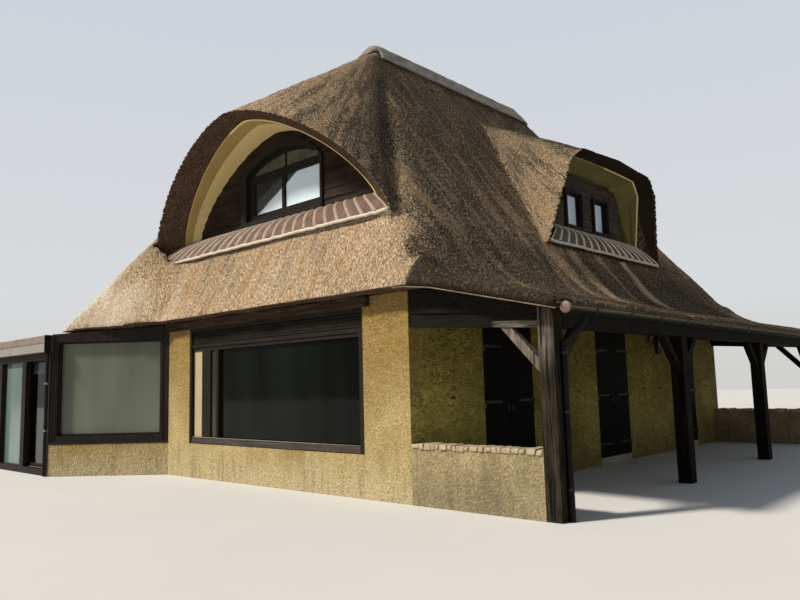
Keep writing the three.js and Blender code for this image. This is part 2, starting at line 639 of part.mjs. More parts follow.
function stripOutline({ outer, inner, board }) {
  const floor = [outer, inner, board].map(({ depth, base }) => [depth, base - STRIP_SEAT + 1]);
  floor[0] = [board.depth * STRIP_EDGE, board.base * STRIP_EDGE - STRIP_SEAT / 2];
  floor[2][0] -= 0.5;
  const crown = [];
  for (let step = 0; step <= 8; step += 1) {
    const share = 1 - (1 - STRIP_EDGE) * step / 8;
    const bulge = STRIP_BULGE * 4 * share * (1 - share);
    const along = Math.atan2(board.base, board.depth);
    crown.push([
      (board.depth - 0.5) * share - bulge * Math.sin(along), board.base * share + bulge * Math.cos(along),
    ]);
  }
  return [...floor, ...crown];
}

function makeDormer(word, windowHole, stripAxis) {
  const dormer = DORMERS[word];
  const { edges, place } = dormer;
  const through = (grow) => dormerLining(dormer, grow, STRIP_SEAT * 2, 0.2);
  add(`${word}_dormer_plaster`, 'plaster', dormerLining(dormer, PLASTER, LINING_FOOT).subtract(through(0)));
  const plasterRoom = dormerLining(dormer, PLASTER + 2, LINING_FOOT + 1, 0.01).subtract(through(-2));

  const curve = footed(edgeCurve(edges.board, PLASTER), STRIP_SEAT);
  const boards = dormerHull(dormer, shifted(curve, GAP, 0), shifted(curve, BOARDING, 0));
  add(`${word}_dormer_boards`, 'timber', boards.subtract(windowHole));

  const outline = stripOutline(edges).map(([depth, up]) => {
    const point = place([0, depth, up]);
    return [stripAxis === 'x' ? point.y : point.x, point.z];
  });
  const strip = solidOf(prism(stripAxis, outline, -12000, 12000));
  const room = dormerMouth(dormer, -1).add(dormerLining(dormer, -3, STRIP_SEAT + 5));
  add(`${word}_dormer_tiles`, 'tile', largest(strip.intersect(room).subtract(plasterRoom)));
}

// The arched window's outline, with its foot level and its head a flat arc.
function archOutline(inset) {
  const { left, right, sill, spring, crown } = ARCH_WINDOW;
  const middle = (left + right) / 2;
  const half = (right - left) / 2 - inset;
  const base = FRONT_DORMER_FOOT[2] + FRONT_DORMER.board.base;
  const rise = crown - spring;
  const points = [[middle - half, base + sill + inset], [middle + half, base + sill + inset]];
  for (let step = 0; step <= 12; step += 1) {
    const share = 1 - step / 6;
    points.push([middle + half * share, base + spring + (rise - inset) * Math.sqrt(1 - 0.8 * share * share)
      - rise * 0.45 * share * share]);
  }
  return points;
}

function makeFrontDormer() {
  const face = FRONT_DORMER_FOOT[1] + FRONT_DORMER.board.depth;
  makeDormer('front', solidOf(prism('y', archOutline(0), face - 50, face + BOARDING + 50)), 'x');

  const base = FRONT_DORMER_FOOT[2] + FRONT_DORMER.board.base;
  const { left, right, sill, spring } = ARCH_WINDOW;
  const middle = (left + right) / 2 - 60;
  const low = base + sill + ARCH_BAR * 1.6;
  const high = base + spring - ARCH_BAR / 2;
  const panes = [
    rectangle(left + ARCH_BAR, middle - ARCH_BAR / 2, low, high),
    rectangle(middle + ARCH_BAR / 2, right - ARCH_BAR, low, high),
  ];
  const light = archOutline(ARCH_BAR).map(([x, z]) => [x, Math.max(z, base + spring + ARCH_BAR / 2)]);
  add('front_dormer_window_frame', 'frame',
    pierced('y', archOutline(GAP), face - 10, face + BOARDING, [...panes, light]));
  const back = face + BOARDING + GAP;
  add('front_dormer_window_glass', 'glass', prism('y', archOutline(ARCH_BAR / 2), back, back + GLASS_THICKNESS));
}

function makeSideDormer() {
  const face = SIDE_DORMER_FOOT[0] - SIDE_DORMER.board.depth;
  const base = SIDE_DORMER_FOOT[2] + SIDE_DORMER.board.base;
  const { sill, head, bar } = SIDE_WINDOW;
  const holes = SIDE_WINDOWS.map((ends) => (
    solidOf(box([face - BOARDING - 50, face + 50], ends, [base + sill, base + head]))
  ));
  makeDormer('side', join(holes), 'y');

  const frames = SIDE_WINDOWS.map(([low, high]) => {
    const outline = rectangle(low + GAP, high - GAP, base + sill + GAP, base + head - GAP);
    const pane = rectangle(low + bar, high - bar, base + sill + bar, base + head - bar);
    return pierced('x', outline, face - BOARDING, face + SILL_BOARD, [pane]);
  });
  const [first, last] = [SIDE_WINDOWS[0][0], SIDE_WINDOWS[1][1]];
  const board = box([face + GAP, face + SILL_BOARD], [first + GAP, last - GAP],
    [base + sill + GAP, base + sill + SILL_BOARD]);
  add('side_dormer_window_frames', 'frame', join([...frames, solidOf(board)]));
  const back = face - BOARDING - GAP;
  add('side_dormer_window_glass', 'glass', box([back - GLASS_THICKNESS, back],
    [first + bar / 2, last - bar / 2], [base + sill + bar / 2, base + head - bar / 2]));
}

// Gallery

// The underside of the gallery thatch, above any point across the gallery.
function underside(x) {
  const [lowX, lowZ] = GALLERY_THATCH[7];
  const [highX, highZ] = GALLERY_THATCH[8];
  const [wallX, wallZ] = GALLERY_THATCH[9];
  if (x < wallX) return wallZ - GAP;
  if (x < highX) return wallZ + (highZ - wallZ) * (x - wallX) / (highX - wallX) - GAP;
  return highZ + (lowZ - highZ) * (x - highX) / (lowX - highX) - GAP;
}

function endBeamFoot(x) {
  return END_BEAM_FOOT_AT_WALL + (BEAM_FOOT - END_BEAM_FOOT_AT_WALL) * x / POST_INNER;
}

function makeGallery() {
  const across = [(POST_INNER + POST_OUTER) / 2 - BRACE_THICKNESS / 2, (POST_INNER + POST_OUTER) / 2 + BRACE_THICKNESS / 2];
  POST_CENTRES.forEach((centre, i) => {
    const corner = i === 0 || i === POST_CENTRES.length - 1;
    const sides = [POST_INNER, POST_OUTER];
    const head = corner ? sides.map(underside) : [BEAM_FOOT - GAP, BEAM_FOOT - GAP];
    const outline = [[sides[0], 0], [sides[1], 0], [sides[1], head[1]], [sides[0], head[0]]];
    const solids = [solidOf(prism('y', outline, centre - POST / 2, centre + POST / 2))];
    const top = BEAM_FOOT - GAP;
    const drop = BEAM_FOOT - BRACE_REACH;
    for (const way of [-1, 1]) {
      if (corner && way === (i === 0 ? -1 : 1)) continue;
      const brace = [[centre, drop], [centre + way * BRACE_REACH, top],
        [centre + way * (BRACE_REACH - BRACE_DROP), top], [centre, drop + BRACE_DROP]];
      solids.push(solidOf(prism('x', brace, ...across)));
    }
    if (corner) {
      const start = (POST_INNER + POST_OUTER) / 2;
      const [far, near] = [start - BRACE_REACH, start - BRACE_REACH + BRACE_DROP];
      const brace = [[start, drop], [far, endBeamFoot(far) - GAP], [near, endBeamFoot(near) - GAP], [start, drop + BRACE_DROP]];
      solids.push(solidOf(prism('y', brace, centre - BRACE_THICKNESS / 2, centre + BRACE_THICKNESS / 2)));
    }
    add(`post_${i + 1}`, 'timber', join(solids));
  });

  const beamOutline = [[POST_INNER, BEAM_FOOT], [POST_OUTER, BEAM_FOOT],
    [POST_OUTER, underside(POST_OUTER)], [POST_INNER, underside(POST_INNER)]];
  const beamEnds = [POST_CENTRES[0] + POST / 2 + GAP, POST_CENTRES[3] - POST / 2 - GAP];
  add('gallery_beam', 'timber', prism('y', beamOutline, ...beamEnds));

  const span = [GAP, POST_INNER - GAP];
  const endOutline = [
    [span[0], endBeamFoot(span[0])], [span[1], endBeamFoot(span[1])], [span[1], underside(span[1])],
    [GALLERY_THATCH[8][0], underside(GALLERY_THATCH[8][0])], [GALLERY_THATCH[9][0], underside(0)],
    [span[0], underside(0)],
  ];
  const frontBeam = END_BEAM_INSET;
  const rearBeam = REAR_CORNER[1] - END_BEAM_INSET - END_BEAM_THICKNESS;
  add('front_end_beam', 'timber', prism('y', endOutline, frontBeam, frontBeam + END_BEAM_THICKNESS));
  add('rear_end_beam', 'timber', prism('y', endOutline, rearBeam, rearBeam + END_BEAM_THICKNESS));

  const parapet = (low) => box(span, [low, low + PARAPET_THICKNESS], [0, PARAPET_TOP]);
  add('front_parapet', 'render', parapet(0));
  add('rear_parapet', 'render', parapet(REAR_CORNER[1] - PARAPET_THICKNESS));
}

// Gutter, downpipe and lantern

function makeDrainage() {
  const centre = [GALLERY_THATCH[5][0] + GUTTER_RADIUS + GAP, GALLERY_THATCH[6][1] + 20];
  const arc = (radius) => Array.from({ length: 11 }, (_, step) => {
    const angle = Math.PI * (1 + step / 10);
    return [centre[0] + radius * Math.cos(angle), centre[1] + radius * Math.sin(angle)];
  });
  const bowl = arc(GUTTER_RADIUS - GUTTER_WALL);
  const brim = [bowl[10], bowl[0]].map(([x, z]) => [x, z + 20]);
  const trough = solidOf(prism('y', arc(GUTTER_RADIUS), GUTTER_FRONT, GUTTER_REAR));
  const channel = prism('y', [...bowl, ...brim], GUTTER_FRONT + GUTTER_WALL, GUTTER_REAR - GUTTER_WALL);
  add('gutter', 'gutter', trough.subtract(solidOf(channel)));

  const outlet = centre[1] - GUTTER_RADIUS - GAP - 1;
  const pipeX = POST_OUTER + PIPE_RADIUS + GAP * 4;
  const route = new THREE.CurvePath();
  const stops = [[centre[0], outlet], [centre[0], outlet - 70], [pipeX, outlet - 320], [pipeX, 0.5]];
  const points = stops.map(([x, z]) => new THREE.Vector3(x, PIPE_Y, z));
  for (let i = 1; i < points.length; i += 1) route.add(new THREE.LineCurve3(points[i - 1], points[i]));
  const ring = new THREE.Shape();
  ring.absarc(0, 0, PIPE_RADIUS, 0, Math.PI * 2);
  const lengths = points.slice(1).map((point, i) => (
    solidOf(new THREE.ExtrudeGeometry(ring, {
      steps: 1, curveSegments: 5, bevelEnabled: false, extrudePath: new THREE.LineCurve3(points[i], point),
    }))
  ));
  const elbows = points.slice(1, -1).map((point) => (
    solidOf(new THREE.SphereGeometry(PIPE_RADIUS + 1, 10, 8).translate(point.x, point.y, point.z))
  ));
  add('downpipe', 'gutter', join([...lengths, ...elbows]));
}

function makeLantern() {
  const { y, out, foot, height, radius } = LANTERN;
  const profile = [[0, 0], [radius * 0.55, 0], [radius * 0.8, height * 0.6], [radius, height * 0.62],
    [radius * 0.35, height * 0.9], [radius * 0.2, height], [0, height]];
  const lathe = new THREE.LatheGeometry(profile.map(([r, z]) => new THREE.Vector2(r, z)), 6);
  lathe.rotateX(Math.PI / 2).translate(out, y, foot);
  const bracket = box([GAP, out], [y - 15, y + 15], [foot + height - 30, foot + height]);
  const plate = box([GAP, 20], [y - 60, y + 60], [foot + height - 200, foot + height]);
  add('lantern', 'iron', join([solidOf(lathe), solidOf(bracket), solidOf(plate)]));
}

// Annex

function makeAnnex() {
  const front = LEFT_FRONT_CORNER[1];
  const right = LEFT_FRONT_CORNER[0] - GAP;
  const top = ANNEX_ROOF.foot - GAP;
  const inner = front + ANNEX_FRAME_DEPTH;
  add('annex_roof', 'fascia', box([ANNEX_LEFT - ANNEX_ROOF.overhang, right],
    [front - ANNEX_ROOF.overhang, ANNEX_REAR + ANNEX_ROOF.overhang], [ANNEX_ROOF.foot, ANNEX_ROOF.top]));
  const wallLeft = ANNEX_LEFT + ANNEX_WALL;
  const wallRear = ANNEX_REAR - ANNEX_WALL;
  add('annex_wall', 'render', prism('z', [
    [ANNEX_LEFT, inner + GAP], [wallLeft, inner + GAP], [wallLeft, wallRear], [right, wallRear],
    [right, ANNEX_REAR], [ANNEX_LEFT, ANNEX_REAR],
  ], 0, top));
  add('annex_floor', 'floor', box([wallLeft + GAP, right], [inner + GAP, wallRear - GAP], [0, TERRACE]));

  const bays = ANNEX_POSTS.slice(1).map(([low], i) => (
    rectangle(ANNEX_POSTS[i][1], low, TERRACE, top - ANNEX_HEAD_RAIL)
  ));
  add('annex_frame', 'frame', pierced('y', rectangle(ANNEX_LEFT, right, 0, top), front, inner, bays));
  const glassFront = inner + GAP;
  const glassTop = top - ANNEX_HEAD_RAIL + 20;
  add('annex_glass', 'glass', box([wallLeft + 5, ANNEX_POSTS[2][1] - 60], [glassFront, glassFront + ANNEX_SHEET],
    [TERRACE + GAP, glassTop]));
  const panelFront = glassFront + ANNEX_SHEET + ANNEX_PANEL.clearance;
  add('annex_sliding_panel', 'glass', box([ANNEX_PANEL.left, ANNEX_PANEL.right],
    [panelFront, panelFront + ANNEX_PANEL.thickness], [TERRACE + GAP, glassTop]));
}

makeFloors();
makeWalls();
makeFrontWindow();
makeCantWindow();
makeRearWindow();
makeDoors();
makeThatch();
makeRidge();
makeFrontDormer();
makeSideDormer();
makeGallery();
makeDrainage();
makeLantern();
makeAnnex();

export default cottage;
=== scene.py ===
# %% [markdown]
# # Dressing a thatched cottage
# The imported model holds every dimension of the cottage: walls, roof, dormers, gallery and annex. This
# lesson gives each of its pieces the look of the real thing: reed, roughcast, weathered oak, tile and
# glass. The frame never moves. A piece that is already the right shape only gets a finish; the others are
# rebuilt here.

import heapq
import math

import bpy
import numpy as np
from mathutils import Matrix, Vector, noise
from mathutils.bvhtree import BVHTree


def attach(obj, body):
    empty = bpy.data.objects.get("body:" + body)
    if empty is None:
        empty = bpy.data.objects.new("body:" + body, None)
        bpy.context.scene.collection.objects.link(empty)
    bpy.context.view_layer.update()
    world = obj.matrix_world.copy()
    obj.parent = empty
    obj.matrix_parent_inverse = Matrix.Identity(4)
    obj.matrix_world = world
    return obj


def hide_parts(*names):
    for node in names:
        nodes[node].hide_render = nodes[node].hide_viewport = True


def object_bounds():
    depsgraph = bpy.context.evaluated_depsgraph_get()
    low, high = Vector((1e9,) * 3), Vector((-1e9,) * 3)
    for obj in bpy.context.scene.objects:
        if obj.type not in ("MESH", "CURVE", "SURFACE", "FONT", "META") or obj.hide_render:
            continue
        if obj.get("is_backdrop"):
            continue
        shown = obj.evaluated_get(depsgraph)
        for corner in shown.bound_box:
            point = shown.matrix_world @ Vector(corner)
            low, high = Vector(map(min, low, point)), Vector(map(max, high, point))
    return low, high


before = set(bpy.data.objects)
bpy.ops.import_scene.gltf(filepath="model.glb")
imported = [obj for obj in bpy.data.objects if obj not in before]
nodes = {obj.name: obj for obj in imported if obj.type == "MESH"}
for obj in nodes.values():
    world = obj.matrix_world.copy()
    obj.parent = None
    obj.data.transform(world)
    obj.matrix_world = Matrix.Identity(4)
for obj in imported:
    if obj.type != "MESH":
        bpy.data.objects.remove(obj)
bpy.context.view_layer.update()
scene = bpy.context.scene

# %% [markdown]
# ## Where things are measured from
# A builder measures a house from the outer corner of its walls, but the frame's origin lies under the
# middle of the corner's masonry. Keeping one shift between the two lets every shape below be given in
# dimensions of the house. Only a finish on one of the frame's own nodes counts from the frame's origin.

# %% The corner of the walls
SHIFT = Vector((0.15, -0.15, 0))
rng = np.random.default_rng(11)
print("walls are measured from", tuple(round(v, 2) for v in SHIFT))

# %% [markdown]
# ## The camera
# The picture was taken by hand, from eye height, near the gallery's corner. Its direction comes from
# where the lines of the walls meet, so it is given as turn, tilt and roll rather than as a target to look
# at.

# %% Camera
EYE = Vector((6.721, -7.469, 1.63)) + SHIFT
TURN, TILT, ROLL = (math.radians(a) for a in (-42.585, 6.745, -1.474))
SENSOR_WIDTH, FOCAL_LENGTH, FAR_CLIP = 36, 32.33, 400
forward = Vector((math.sin(TURN) * math.cos(TILT), math.cos(TURN) * math.cos(TILT), math.sin(TILT)))
level = Vector((math.cos(TURN), -math.sin(TURN), 0))
upright = level.cross(forward)
side = level * math.cos(ROLL) + upright * math.sin(ROLL)
above = upright * math.cos(ROLL) - level * math.sin(ROLL)
camera = bpy.data.objects.new("camera", bpy.data.cameras.new("camera"))
camera.matrix_world = Matrix.Translation(EYE) @ Matrix((side, above, -forward)).transposed().to_4x4()
camera.data.sensor_width = SENSOR_WIDTH
camera.data.lens = FOCAL_LENGTH
camera.data.clip_end = FAR_CLIP
scene.collection.objects.link(camera)
scene.camera = camera
print("camera at", tuple(round(v, 2) for v in EYE))

# %% [markdown]
# ## Node graphs in a few words
# A material is a graph of small nodes. The class below grows one node at a time and links or sets each of
# its inputs, and a method for each common node lets the finishes read as lists of what they are made of.

# %% A graph that grows
class Graph:
    def __init__(self, tree):
        self.tree = tree

    def feed(self, socket, value):
        """Link a socket to another one, or set its value; a colour may come without its alpha."""
        if isinstance(value, bpy.types.NodeSocket):
            self.tree.links.new(value, socket)
        else:
            socket.default_value = (*value, 1) if socket.type == "RGBA" and len(value) == 3 else value

    def node(self, kind, inputs=(), **options):
        node = self.tree.nodes.new("ShaderNode" + kind)
        for option, value in options.items():
            setattr(node, option, value)
        for socket, value in dict(inputs).items():
            self.feed(node.inputs[socket], value)
        return node

    def maths(self, operation, a, b=0.5, **options):
        return self.node("Math", {0: a, 1: b}, operation=operation, **options).outputs[0]

    def times(self, a, b, **options):
        return self.maths("MULTIPLY", a, b, **options)

    def plus(self, a, b):
        return self.maths("ADD", a, b)

    def minus(self, a, b):
        return self.maths("SUBTRACT", a, b)

    def remap(self, value, low, high, to_low=0.0, to_high=1.0, **options):
        """A value taken from one range to another, and kept inside it."""
        inputs = {"Value": value, "From Min": low, "From Max": high, "To Min": to_low, "To Max": to_high}
        return self.node("MapRange", inputs, **options).outputs[0]

    def mix(self, share, a, b):
        return self.node("Mix", {0: share, 2: a, 3: b}, data_type="FLOAT").outputs[0]

    def blend(self, share, a, b, mode="MIX"):
        """Two colours mixed, or multiplied."""
        return self.node("Mix", {0: share, 6: a, 7: b}, data_type="RGBA", blend_type=mode).outputs[2]

    def shade(self, colour, value):
        """A colour multiplied by a grey of the given value."""
        grey = self.node("CombineColor", {0: value, 1: value, 2: value}).outputs[0]
        return self.blend(1.0, colour, grey, "MULTIPLY")

    def ramp(self, value, *stops):
        """A colour ramp: each stop is (position, colour)."""
        node = self.node("ValToRGB", {"Fac": value})
        while len(node.color_ramp.elements) < len(stops):
            node.color_ramp.elements.new(0.5)
        for element, (position, colour) in zip(node.color_ramp.elements, stops):
            element.position = position
            element.color = (*colour, 1)
        return node.outputs["Color"]

    def noise(self, vector, scale, detail=2.0, roughness=0.5, distortion=0.0):
        inputs = {"Vector": vector, "Scale": scale, "Detail": detail, "Roughness": roughness,
                  "Distortion": distortion}
        return self.node("TexNoise", inputs).outputs["Fac"]

    def cells(self, vector, scale):
        return self.node("TexVoronoi", {"Vector": vector, "Scale": scale}).outputs["Distance"]

    def stretch(self, vector, factors):
        return self.node("VectorMath", {0: vector, 1: factors}, operation="MULTIPLY").outputs[0]

    def axis(self, vector, letter):
        return self.node("SeparateXYZ", {"Vector": vector}).outputs[letter]

    def mesh_value(self, name, output="Fac"):
        return self.node("Attribute", attribute_name=name, attribute_type="GEOMETRY").outputs[output]


def new_group(name, inputs, outputs):
    """A shader node group: inputs are (name, type, default), and outputs are the names of its values."""
    tree = bpy.data.node_groups.new(name, "ShaderNodeTree")
    for label, kind, default in inputs:
        socket = tree.interface.new_socket(label, in_out="INPUT", socket_type="NodeSocket" + kind)
        if default is not None:
            socket.default_value = default
    for label in outputs:
        tree.interface.new_socket(label, in_out="OUTPUT", socket_type="NodeSocketFloat")
    into = tree.nodes.new("NodeGroupInput").outputs
    out = tree.nodes.new("NodeGroupOutput").inputs
    return Graph(tree), into, out


def darker(colour, factor):
    return tuple(c * factor for c in colour)


print("graphs can grow")

# %% [markdown]
# ## Effects that several finishes share
# Old surfaces repeat a few effects: a fine tooth, soft blotches where rain and dust settled, a grain
# along the timber. Each is built once as a group with named sockets and placed in a material with its own
# values. Groups hand out only masks and heights, and the shader stays in the material.

# %% Group: blotches and fine tooth
g, into, out = new_group("blotches_and_tooth", [
    ("Vector", "Vector", None), ("Blotch Scale", "Float", 1.5), ("Tooth Scale", "Float", 60.0),
    ("Contrast", "Float", 0.5)], ["Blotch", "Tooth"])
wide = g.remap(g.noise(into["Vector"], into["Blotch Scale"], 5.0, 0.6), 0.32, 0.68)
g.feed(out["Blotch"], g.mix(into["Contrast"], 0.5, wide))
g.feed(out["Tooth"], g.noise(into["Vector"], into["Tooth Scale"], 4.0, 0.65))
blotches = g.tree
print("group:", blotches.name)

# %% Group: grain along a timber
g, into, out = new_group("timber_grain", [
    ("Vector", "Vector", None), ("Stretch", "Vector", (30.0, 30.0, 1.6)), ("Checks", "Float", 0.5)],
    ["Grain", "Check", "Height"])
drawn = g.stretch(into["Vector"], into["Stretch"])
fibres = g.noise(drawn, 1.0, 6.0, 0.7, 0.6)
splits = g.remap(g.noise(drawn, 0.45, 2.0, 0.5, 1.5), 0.36, 0.42, 1.0, 0.0)
check = g.times(splits, into["Checks"])
g.feed(out["Grain"], fibres)
g.feed(out["Check"], check)
g.feed(out["Height"], g.minus(fibres, check))
grain = g.tree
print("group:", grain.name)

# %% Group: splashed dirt above the ground
g, into, out = new_group("splashed_dirt", [
    ("Vector", "Vector", None), ("Reach", "Float", 0.5), ("Amount", "Float", 0.5)], ["Dirt"])
ragged = g.times(g.noise(into["Vector"], 3.0, 5.0), 0.9)
low = g.minus(g.axis(into["Vector"], "Z"), ragged)
fade = g.remap(low, -0.45, into["Reach"], 1.0, 0.0, interpolation_type="SMOOTHSTEP")
g.feed(out["Dirt"], g.times(fade, into["Amount"]))
splash = g.tree
print("group:", splash.name)

# %% [markdown]
# ## Starting a material
# Every finish is a Principled shader fed by its own mix of those effects. Roughness and bump vary as well
# as the colour, because light finds the tooth of a surface before the eye finds its colour.

# %% A material's own graph
class Finish(Graph):
    def __init__(self, name):
        self.material = bpy.data.materials.new(name)
        self.material.use_nodes = True
        super().__init__(self.material.node_tree)
        self.where = self.node("TexCoord").outputs["Object"]

    def use(self, group, **values):
        """Place a shared effect, with its values given by the names of its sockets."""
        node = self.node("Group", {"Vector": self.where}, node_tree=group)
        for label, value in values.items():
            node.inputs[label.replace("_", " ")].default_value = value
        return node.outputs

    def weather(self, blotch_scale, tooth_scale):
        return self.use(blotches, Blotch_Scale=blotch_scale, Tooth_Scale=tooth_scale, Contrast=1.0)

    def rough(self, mask, low, high):
        return self.remap(mask, 0.0, 1.0, low, high)

    def done(self, colour, rough, height, strength=0.3, depth=0.01, **plain):
        """Feed the shader, and hand the material out. Plain values go on the shader's own sockets."""
        shader = self.tree.nodes["Principled BSDF"]
        self.feed(shader.inputs["Base Color"], colour)
        self.feed(shader.inputs["Roughness"], rough)
        bump = self.node("Bump", {"Height": height, "Strength": strength, "Distance": depth})
        self.feed(shader.inputs["Normal"], bump.outputs["Normal"])
        for label, value in plain.items():
            shader.inputs[label.replace("_", " ")].default_value = value
        return self.material


print("materials can start")

# %% [markdown]
# ## Roughcast
# The walls wear an ochre roughcast: pebbly render thrown on and dragged with a trowel, and splashed pale at
# the foot. Under the eaves a deeper, warmer yellow paints the shade there. A noise and a net of cells make
# the pebbles, and a flattened noise makes the trowel's drag; the gaps, pits and hollows are painted darker as
# shade, and the lumps lighter as lit. In the gallery's shade the same roughcast is painted darker and
# greener, as shade with green light reflected into it, and it is more cracked.

# %% Roughcast walls
PIT_SHADE = 0.6
EAVE_SHADE = (0.78, 0.62, 0.26)
CORNER_FROM, CORNER_TO = 0.143, 0.1485  # x where the front wall's end turns into the gallery's shade


def roughcast(name, pale, deep, drag, foot, beside=None):
    g = Finish(name)
    effect = g.weather(1.1, 27.0)
    dragged = g.noise(g.stretch(g.where, (4.5, 4.5, 14.0)), 1.0, 1.5, 0.5, 0.9)
    pebbles = g.cells(g.where, 36.0)
    coarse = g.noise(g.where, 13.0, 3.0, 0.6)
    toothed = g.remap(effect["Tooth"], 0.36, 0.56)
    gaps = g.remap(pebbles, 0.3, 0.62, 1.0, 0.0)
    lumps = g.remap(coarse, 0.36, 0.6)
    # This mask is 1 low on the wall and 0 at the eaves, where a deeper, warmer yellow paints the shade.
    below_eaves = g.remap(g.axis(g.where, "Z"), 2.7, 0.7, interpolation_type="SMOOTHSTEP")

    def blotched_with_eave_shade(pale, deep):
        mixed = g.blend(effect["Blotch"], pale, deep)
        # The colour near the eaves, with the shade there painted into it.
        eave_shade = tuple(c * f for c, f in zip(deep, EAVE_SHADE))
        return g.blend(below_eaves, g.blend(0.7, mixed, eave_shade), mixed)

    colour = g.blend(g.use(splash, Reach=0.28, Amount=0.75)["Dirt"], blotched_with_eave_shade(pale, deep), foot)
    ridged = g.maths("ABSOLUTE", g.minus(dragged, 0.5))
    cracks = g.remap(ridged, 0.012, 0.07, 1.0, 0.0)
    cracked = g.minus(drag + 0.35, g.times(below_eaves, 0.55))
    # The front wall's end, turned into the gallery, takes the shaded copy and the shade painted into it.
    if beside:
        turned = g.remap(g.axis(g.where, "X"), CORNER_FROM, CORNER_TO)
        colour = g.blend(turned, colour, blotched_with_eave_shade(*beside))
        cracked = g.mix(turned, cracked, 0.9)
    drips = g.noise(g.stretch(g.where, (11.0, 11.0, 1.1)), 1.0, 5.0, 0.7)
    drips = g.remap(drips, 0.5, 0.68, 0.0, 0.55)
    low = g.use(splash, Reach=0.9, Amount=1.0)["Dirt"]
    colour = g.blend(g.times(drips, low), colour, darker(deep, 0.5))
    # The gaps between pebbles and the pits of the tooth are painted darker as shade, and the lumps lighter as
    # lit.
    lit = g.times(g.plus(g.times(gaps, 0.45), 0.55), toothed)
    lit = g.times(lit, g.plus(g.times(lumps, 0.35), 0.65))
    colour = g.shade(colour, g.plus(g.times(lit, PIT_SHADE), 1.06 - PIT_SHADE * 0.72))
    # The hollows of the trowel's drag are painted darker, as shade.
    hollow = g.remap(dragged, 0.34, 0.5)
    colour = g.blend(drag * 0.6, colour, g.blend(hollow, darker(deep, 0.7), colour))
    colour = g.blend(g.times(cracks, cracked, use_clamp=True), colour, darker(deep, 0.4))
    bumps = g.plus(g.times(effect["Tooth"], 0.9), g.times(dragged, drag * 1.4))
    bumps = g.minus(bumps, g.times(pebbles, 0.5))
    bumps = g.plus(bumps, g.times(coarse, 0.8))
    return g.done(colour, g.rough(effect["Tooth"], 0.8, 0.98), bumps, 0.85, 0.022, Specular_IOR_Level=0.15)


# Sunny and shaded copies of one roughcast: the shaded one paints the gallery's shade, darker and greener, as
# if green light were reflected into it.
SUNNY = (0.52, 0.412, 0.198), (0.345, 0.248, 0.093)
SHADED = (0.52, 0.44, 0.12), (0.2, 0.165, 0.038)
LOW_WALL = (0.53, 0.435, 0.235), (0.185, 0.145, 0.075)
sunny_roughcast = roughcast("roughcast_front", *SUNNY, 0.25, (0.52, 0.44, 0.27), beside=SHADED)
parapet_roughcast = roughcast("roughcast_parapet", *LOW_WALL, 0.2, (0.27, 0.225, 0.14))
shaded_gallery_roughcast = roughcast("roughcast_gallery_shaded", *SHADED, 0.7, (0.24, 0.2, 0.085))
print("finish:", sunny_roughcast.name, parapet_roughcast.name, shaded_gallery_roughcast.name)

# %% [markdown]
# ## Timber
# Posts and beams are oak stained almost black, gone grey where rain reaches the first post and the end beams;
# on the first post's brace and upper front that pale grey also paints sunlight. The weatherboards are a worn
# dark brown, the window frames carry a dark brown paint, and the doors are as good as black, a dark stain
# with the gallery's shade painted in. The board over the front window is warmer, and two laths are paler. All
# are the same grain group with different stretch, colours and amounts.

# %% Timber finishes
# Pale grey of weathered oak, which on the first post also paints sunlight.
RAIN_AND_SUN_GREY = (0.05, 0.042, 0.033), (0.36, 0.3, 0.235)
BEAM_FALL = 0.0718  # how much the end beam drops for each metre outwards


def timber(name, dark, pale, stretch, rough, checks=0.5, wash=0.4, strength=0.35, rain_and_sun_mask=None):
    g = Finish(name)
    wood = g.use(grain, Stretch=stretch, Checks=checks)
    weather = g.weather(2.2, 90.0)
    streak = g.remap(wood["Grain"], 0.38, 0.68)
    colour = g.blend(streak, dark, pale)
    if rain_and_sun_mask:
        colour = g.blend(rain_and_sun_mask(g, wood["Grain"]), colour, g.blend(streak, *RAIN_AND_SUN_GREY))
    colour = g.blend(g.times(weather["Blotch"], wash), colour, darker(dark, 0.45))
    colour = g.blend(wood["Check"], colour, darker(dark, 0.2))
    return g.done(colour, g.rough(streak, rough - 0.08, rough + 0.1), wood["Height"], strength, 0.008,
                  Specular_IOR_Level=0.08)


def on_post(g, fibres):
    """The brace on the post's inner side, and the upper part of the post's front, where weathering and
    painted sunlight make the oak pale.
    """
    inner = g.remap(g.axis(g.where, "X"), 2.238, 2.232)
    ahead = g.remap(g.axis(g.where, "Y"), -0.138, -0.146)
    high = g.plus(g.axis(g.where, "Z"), g.times(fibres, 0.9))
    high = g.remap(high, 2.2, 2.55, 0.0, 0.7)
    return g.maths("MAXIMUM", inner, g.times(ahead, high))


def on_beam_end(g, fibres):
    """The lower edge of the end beam, from the brace to the post."""
    line = g.plus(g.axis(g.where, "Z"), g.times(g.axis(g.where, "X"), BEAM_FALL))
    low = g.remap(line, 2.53, 2.515)
    near = g.remap(g.axis(g.where, "X"), 1.54, 1.62, 0.0, 0.75)
    return g.times(low, near)


